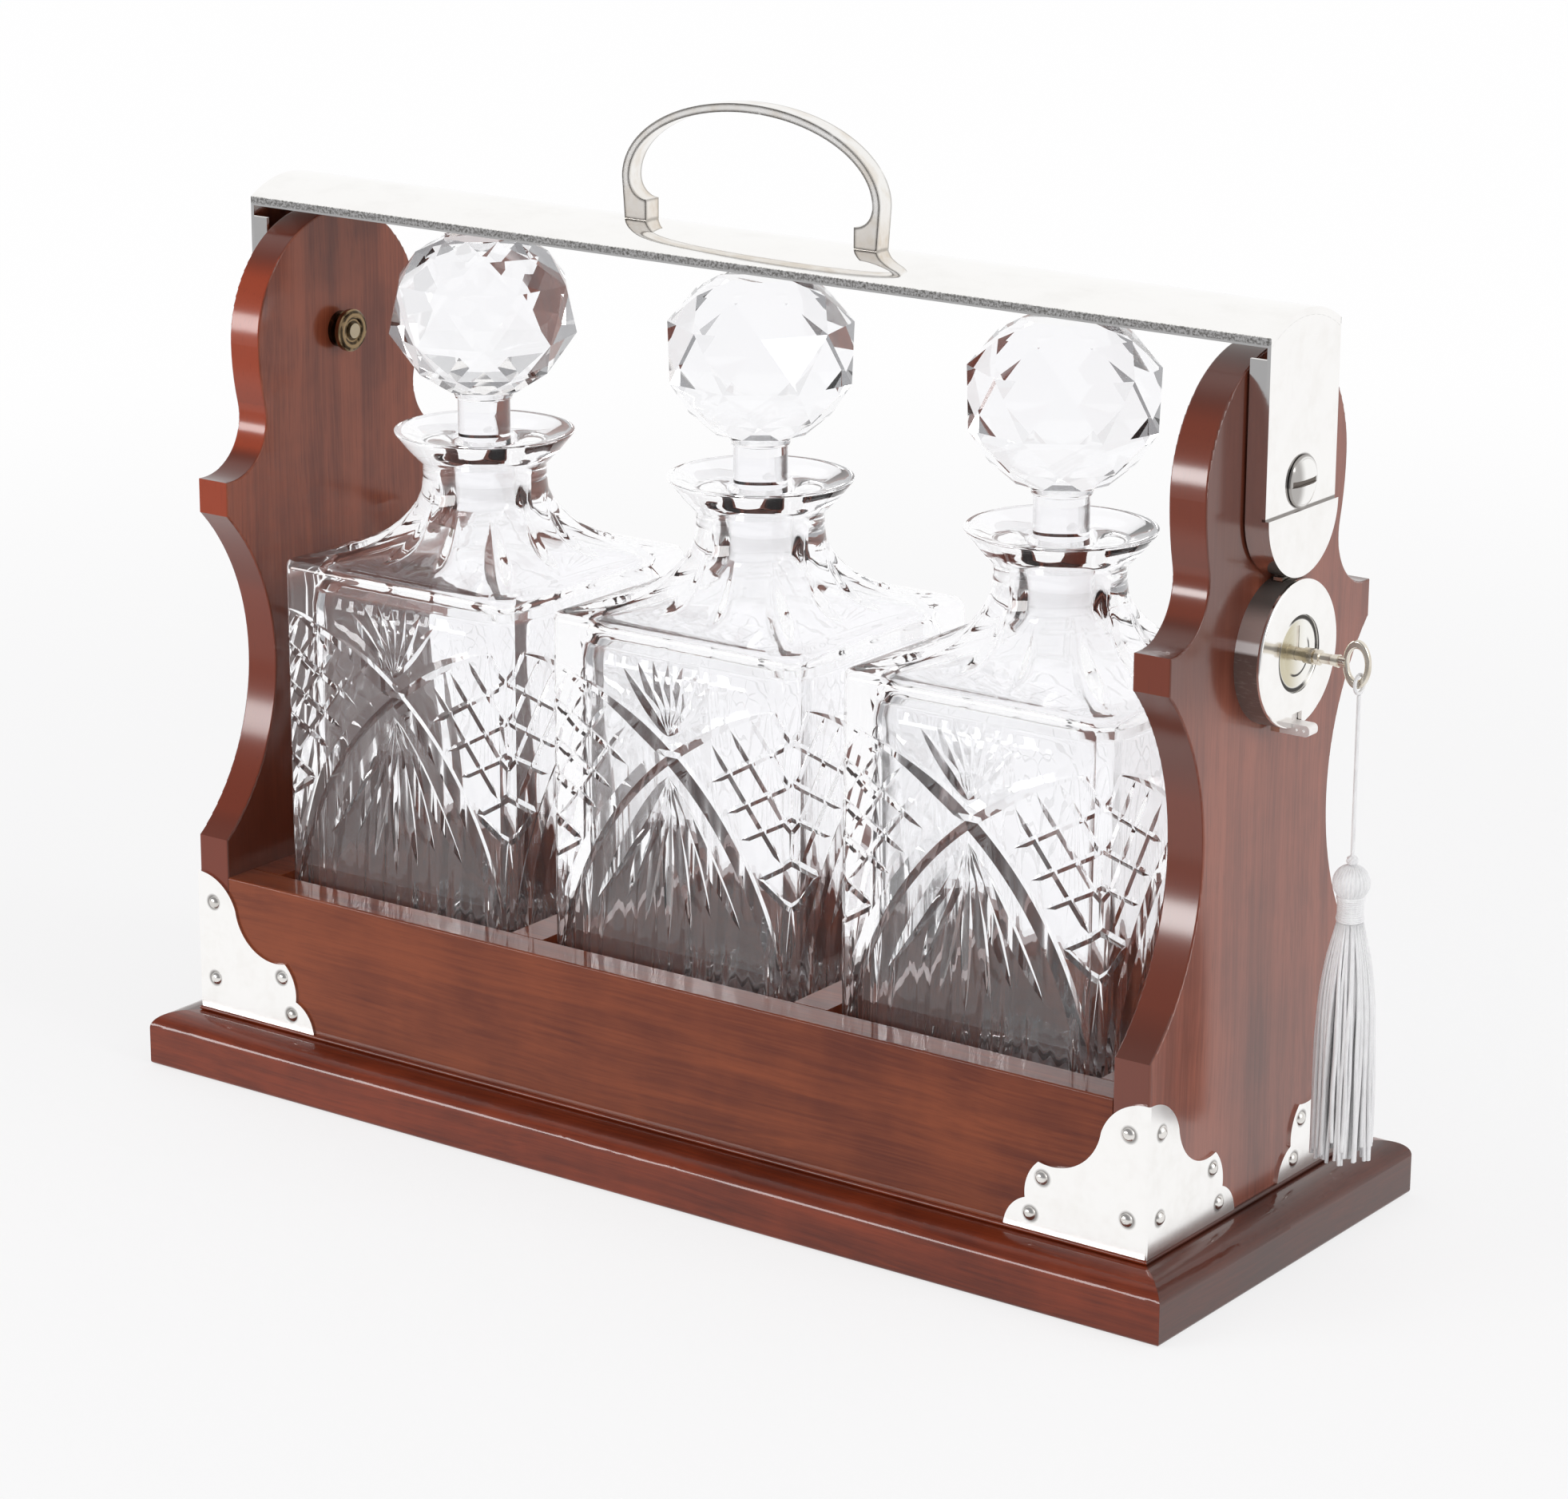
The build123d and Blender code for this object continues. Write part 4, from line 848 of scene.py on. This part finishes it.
def face_cuts():
    """All the cuts of one face: each side's own, mirrored, and the middle ones once."""
    side = [arc_cut()]
    side += [ray_cut(0, 105, 180 - a, n, w) for a, n, w in ((10.5, 50, 2.5), (21, 46, 2.9), (32, 53, 3.0))]
    side += [ray_cut(0, 118, a, n, 2.1, 0.6) for a, n in ((14, 24), (28, 25), (42, 26))]
    side += [line_cut(16.6, 106.2, 47.2, 123.8), line_cut(23.0, 97.4, 47.2, 110.8),
             line_cut(28.6, 89.7, 47.2, 99.6), line_cut(17.0, 118.2, 41.6, 87.4),
             line_cut(24.4, 123.8, 47.2, 95.2), line_cut(32.2, 128.6, 47.2, 109.9),
             line_cut(39.8, 133.0, 47.2, 123.8)]
    side += [line_cut(34.7, 78.2, 47.2, 85.6, 1.4), line_cut(34.7, 78.2, 47.2, 70.4, 1.4)]
    side += [ray_cut(u, h, 180, n, 0.9) for u, h, n in ((38.2, 68, 44), (42.2, 70, 50))]
    cuts = []
    for line, width, slope in side:
        cuts.append((line, width, slope))
        cuts.append((line * np.array([-1.0, 1.0]), width, slope))
    cuts.append(ray_cut(0, 105, 180, 54, 2.3))
    cuts.append(ray_cut(0, 118, 0, 23, 2.1, 0.6))
    return cuts


def cut_depth(where, cuts):
    """Depth of the deepest cut at each point: slope times half width less distance from its middle."""
    deepest = np.zeros(len(where))
    for line, width, slope in cuts:
        start, run = line[:-1], np.diff(line, axis=0)
        offset = where[:, None] - start[None]
        share = np.clip((offset * run).sum(-1) / (run ** 2).sum(-1), 0, 1)
        gap = np.linalg.norm(offset - share[..., None] * run, axis=-1)
        half = width[:-1] + share * np.diff(width)
        deepest = np.maximum(deepest, (slope * (half - gap)).max(1))
    return deepest


def cut_face():
    """Triangles of one face from corner to corner, with an edge along every cut's lips and middle."""
    edge = face_half + bevel
    across = np.linspace(-face_half, face_half, lip_samples - 1)
    across = np.unique(np.concatenate([[-edge], across, [edge]]).round(6))
    points = [(u, h) for h in (cut_low, cut_high) for u in across]
    count = len(across)
    lines = [(i, i + 1) for i in range(count - 1)] + [(count + i, count + i + 1) for i in range(count - 1)]
    lines += [(0, count), (count - 1, 2 * count - 1), (1, count + 1), (count - 2, 2 * count - 2)]
    cuts = face_cuts()
    for line, width, _ in cuts:
        way = np.gradient(line, axis=0)
        way /= np.linalg.norm(way, axis=1)[:, None]
        side = np.stack([-way[:, 1], way[:, 0]], -1)
        for shift in (-1, 0, 1):
            path = line + side * (width * shift)[:, None]
            if np.abs(path[:, 0]).max() > edge:
                inside = np.abs(path[:, 0]) <= edge
                last = path[inside][-1]
                beyond = path[~inside][0]
                share = (edge - abs(last[0])) / (abs(beyond[0]) - abs(last[0]))
                stop = last + (beyond - last) * share
                stop[0] = math.copysign(edge, stop[0])
                path = np.vstack([path[inside], stop])
            first = len(points)
            points += [tuple(p) for p in path]
            lines += [(first + i, first + i + 1) for i in range(len(path) - 1)]
    found = delaunay_2d_cdt([Vector(p) for p in points], lines, [], 0, same_place)
    flat = np.array([tuple(v) for v in found[0]])
    depth = cut_depth(flat, cuts)
    depth[(flat[:, 1] > cut_high - 1e-3) | (flat[:, 1] < cut_low + 1e-3)] = 0
    return flat, np.array(found[2]), depth, across


def bend_round(flat, depth):
    """Folds a flat face over its corner bevels, where it turns by 45 degrees, and sinks its cuts inwards."""
    over = np.clip(np.abs(flat[:, 0]) - face_half, 0, None)
    sign = np.sign(flat[:, 0])
    x = sign * (np.minimum(np.abs(flat[:, 0]), face_half) + over * math.sqrt(0.5))
    y = -glass_half + over * math.sqrt(0.5)
    on_edge = np.abs(np.abs(flat[:, 0]) - face_half) < same_place
    lean = np.where(on_edge, -math.tan(math.pi / 8), 0)
    inward_x = np.where(over > same_place, -math.sqrt(0.5), lean) * sign
    inward_y = np.where(over > same_place, math.sqrt(0.5), 1.0)
    return np.stack([x + inward_x * depth, y + inward_y * depth, flat[:, 1]], -1)


def quarter_turns(points):
    """The same points on the four sides."""
    turned = [points]
    for _ in range(3):
        last = turned[-1]
        turned.append(np.stack([-last[:, 1], last[:, 0], last[:, 2]], -1))
    return turned


def cut_shoulder(rings):
    """Sinks the leaf cuts: slope times the half width there less the distance from the cut's middle."""
    for ring in rings:
        reach = np.hypot(ring[:, 0], ring[:, 1])
        turn = np.degrees(np.arctan2(ring[:, 1], ring[:, 0])) % 90
        for place, first, last, width, slope in shoulder_cuts:
            swell = np.sin(math.pi * np.clip((reach - first) / (last - first), 0, 1)) ** 0.7 * width
            off = reach * np.sin(np.radians(np.abs(turn - place)))
            ring[:, 2] -= np.clip(swell - off, 0, None) * slope


def draw_inside(rings, round_way):
    """Faint upright flutes of the blown inside: three sines round it, strongest near the foot."""
    for ring in rings:
        height = ring[0, 2]
        drawn = 0.015 * np.interp(height, (12, 22, 60, 100, 140, 150), (0, 1, 0.85, 0.2, 0.12, 0))
        sway = round_way + 0.05 * math.sin(height / 17)
        flutes = np.sin(29 * sway) + 0.8 * np.sin(47 * sway + 1.3) + 0.6 * np.sin(71 * sway + height / 11)
        ring[:, :2] *= (1 + drawn * flutes / 1.6)[:, None]


def decanter_form():
    """Whole decanter about its own axis: four cut faces, then rings up the outside and down the inside."""
    flat, triangles, depth, across = cut_face()
    points, faces = quarter_turns(bend_round(flat, depth)), []
    for quarter in range(4):
        faces += (triangles + quarter * len(flat)).tolist()
    rim_flat = np.stack([across[:-1], np.full(len(across) - 1, cut_high)], -1)
    rim = np.vstack(quarter_turns(bend_round(rim_flat, np.zeros(len(rim_flat)))))[:, :2]
    round_way = np.arctan2(rim[:, 1], rim[:, 0])
    square = np.hypot(rim[:, 0], rim[:, 1]) / glass_half
    soft = 1 / (np.abs(np.cos(round_way)) ** 7 + np.abs(np.sin(round_way)) ** 7) ** (1 / 7)

    def rings(profile, corner):
        """One ring for each row of a profile: half width times a blend of the corner's form and a circle."""
        made = []
        for half, height, roundness in profile:
            away = half * ((1 - roundness) * corner + roundness)
            made.append(np.stack([away * np.cos(round_way), away * np.sin(round_way),
                                  np.full(len(round_way), height)], -1))
        return made

    outer = rings(outer_profile, square)
    cut_shoulder(outer[5:15])
    between = np.arange(len(inner_profile) * 4 - 3) / 4
    finer = [np.interp(between, np.arange(len(inner_profile)), column) for column in inner_profile.T]
    inner = rings(np.stack(finer, -1), soft)
    draw_inside(inner, round_way)
    columns = len(round_way)
    for stack, upwards in ((outer + inner, True), (rings(foot_profile, square), False)):
        start = sum(len(block) for block in points)
        points.append(np.array(stack).reshape(-1, 3))
        made = grid_faces(len(stack), columns, start)
        last = list(range(start + (len(stack) - 1) * columns, start + len(stack) * columns))
        faces += (made if upwards else made[:, ::-1]).tolist()
        faces.append(last if upwards else last[::-1])
    return np.vstack(points) / 1000.0, faces


def weld(piece, gap=2e-6, smooth_above=0.1738):
    """Joins the points that two neighbouring patches share, and smooths the rings and the neck."""
    work = bmesh.new()
    work.from_mesh(piece.data)
    bmesh.ops.remove_doubles(work, verts=work.verts, dist=gap)
    bmesh.ops.recalc_face_normals(work, faces=work.faces)
    for face in work.faces:
        face.smooth = face.calc_center_median().z > smooth_above or len(face.verts) == 4
    work.to_mesh(piece.data)
    work.free()


form_points, form_faces = decanter_form()
for side in ("left", "middle", "right"):
    low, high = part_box("decanter_" + side)
    stand = np.array([(low.x + high.x) / 2, 0.0, low.z])
    decanter = surface("cut_decanter_" + side, form_points + stand, form_faces, clear_glass, smooth=False)
    weld(decanter)
    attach(decanter, "decanter_body_" + side)
    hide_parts("decanter_" + side)
    dress(clear_glass, "stopper_" + side)
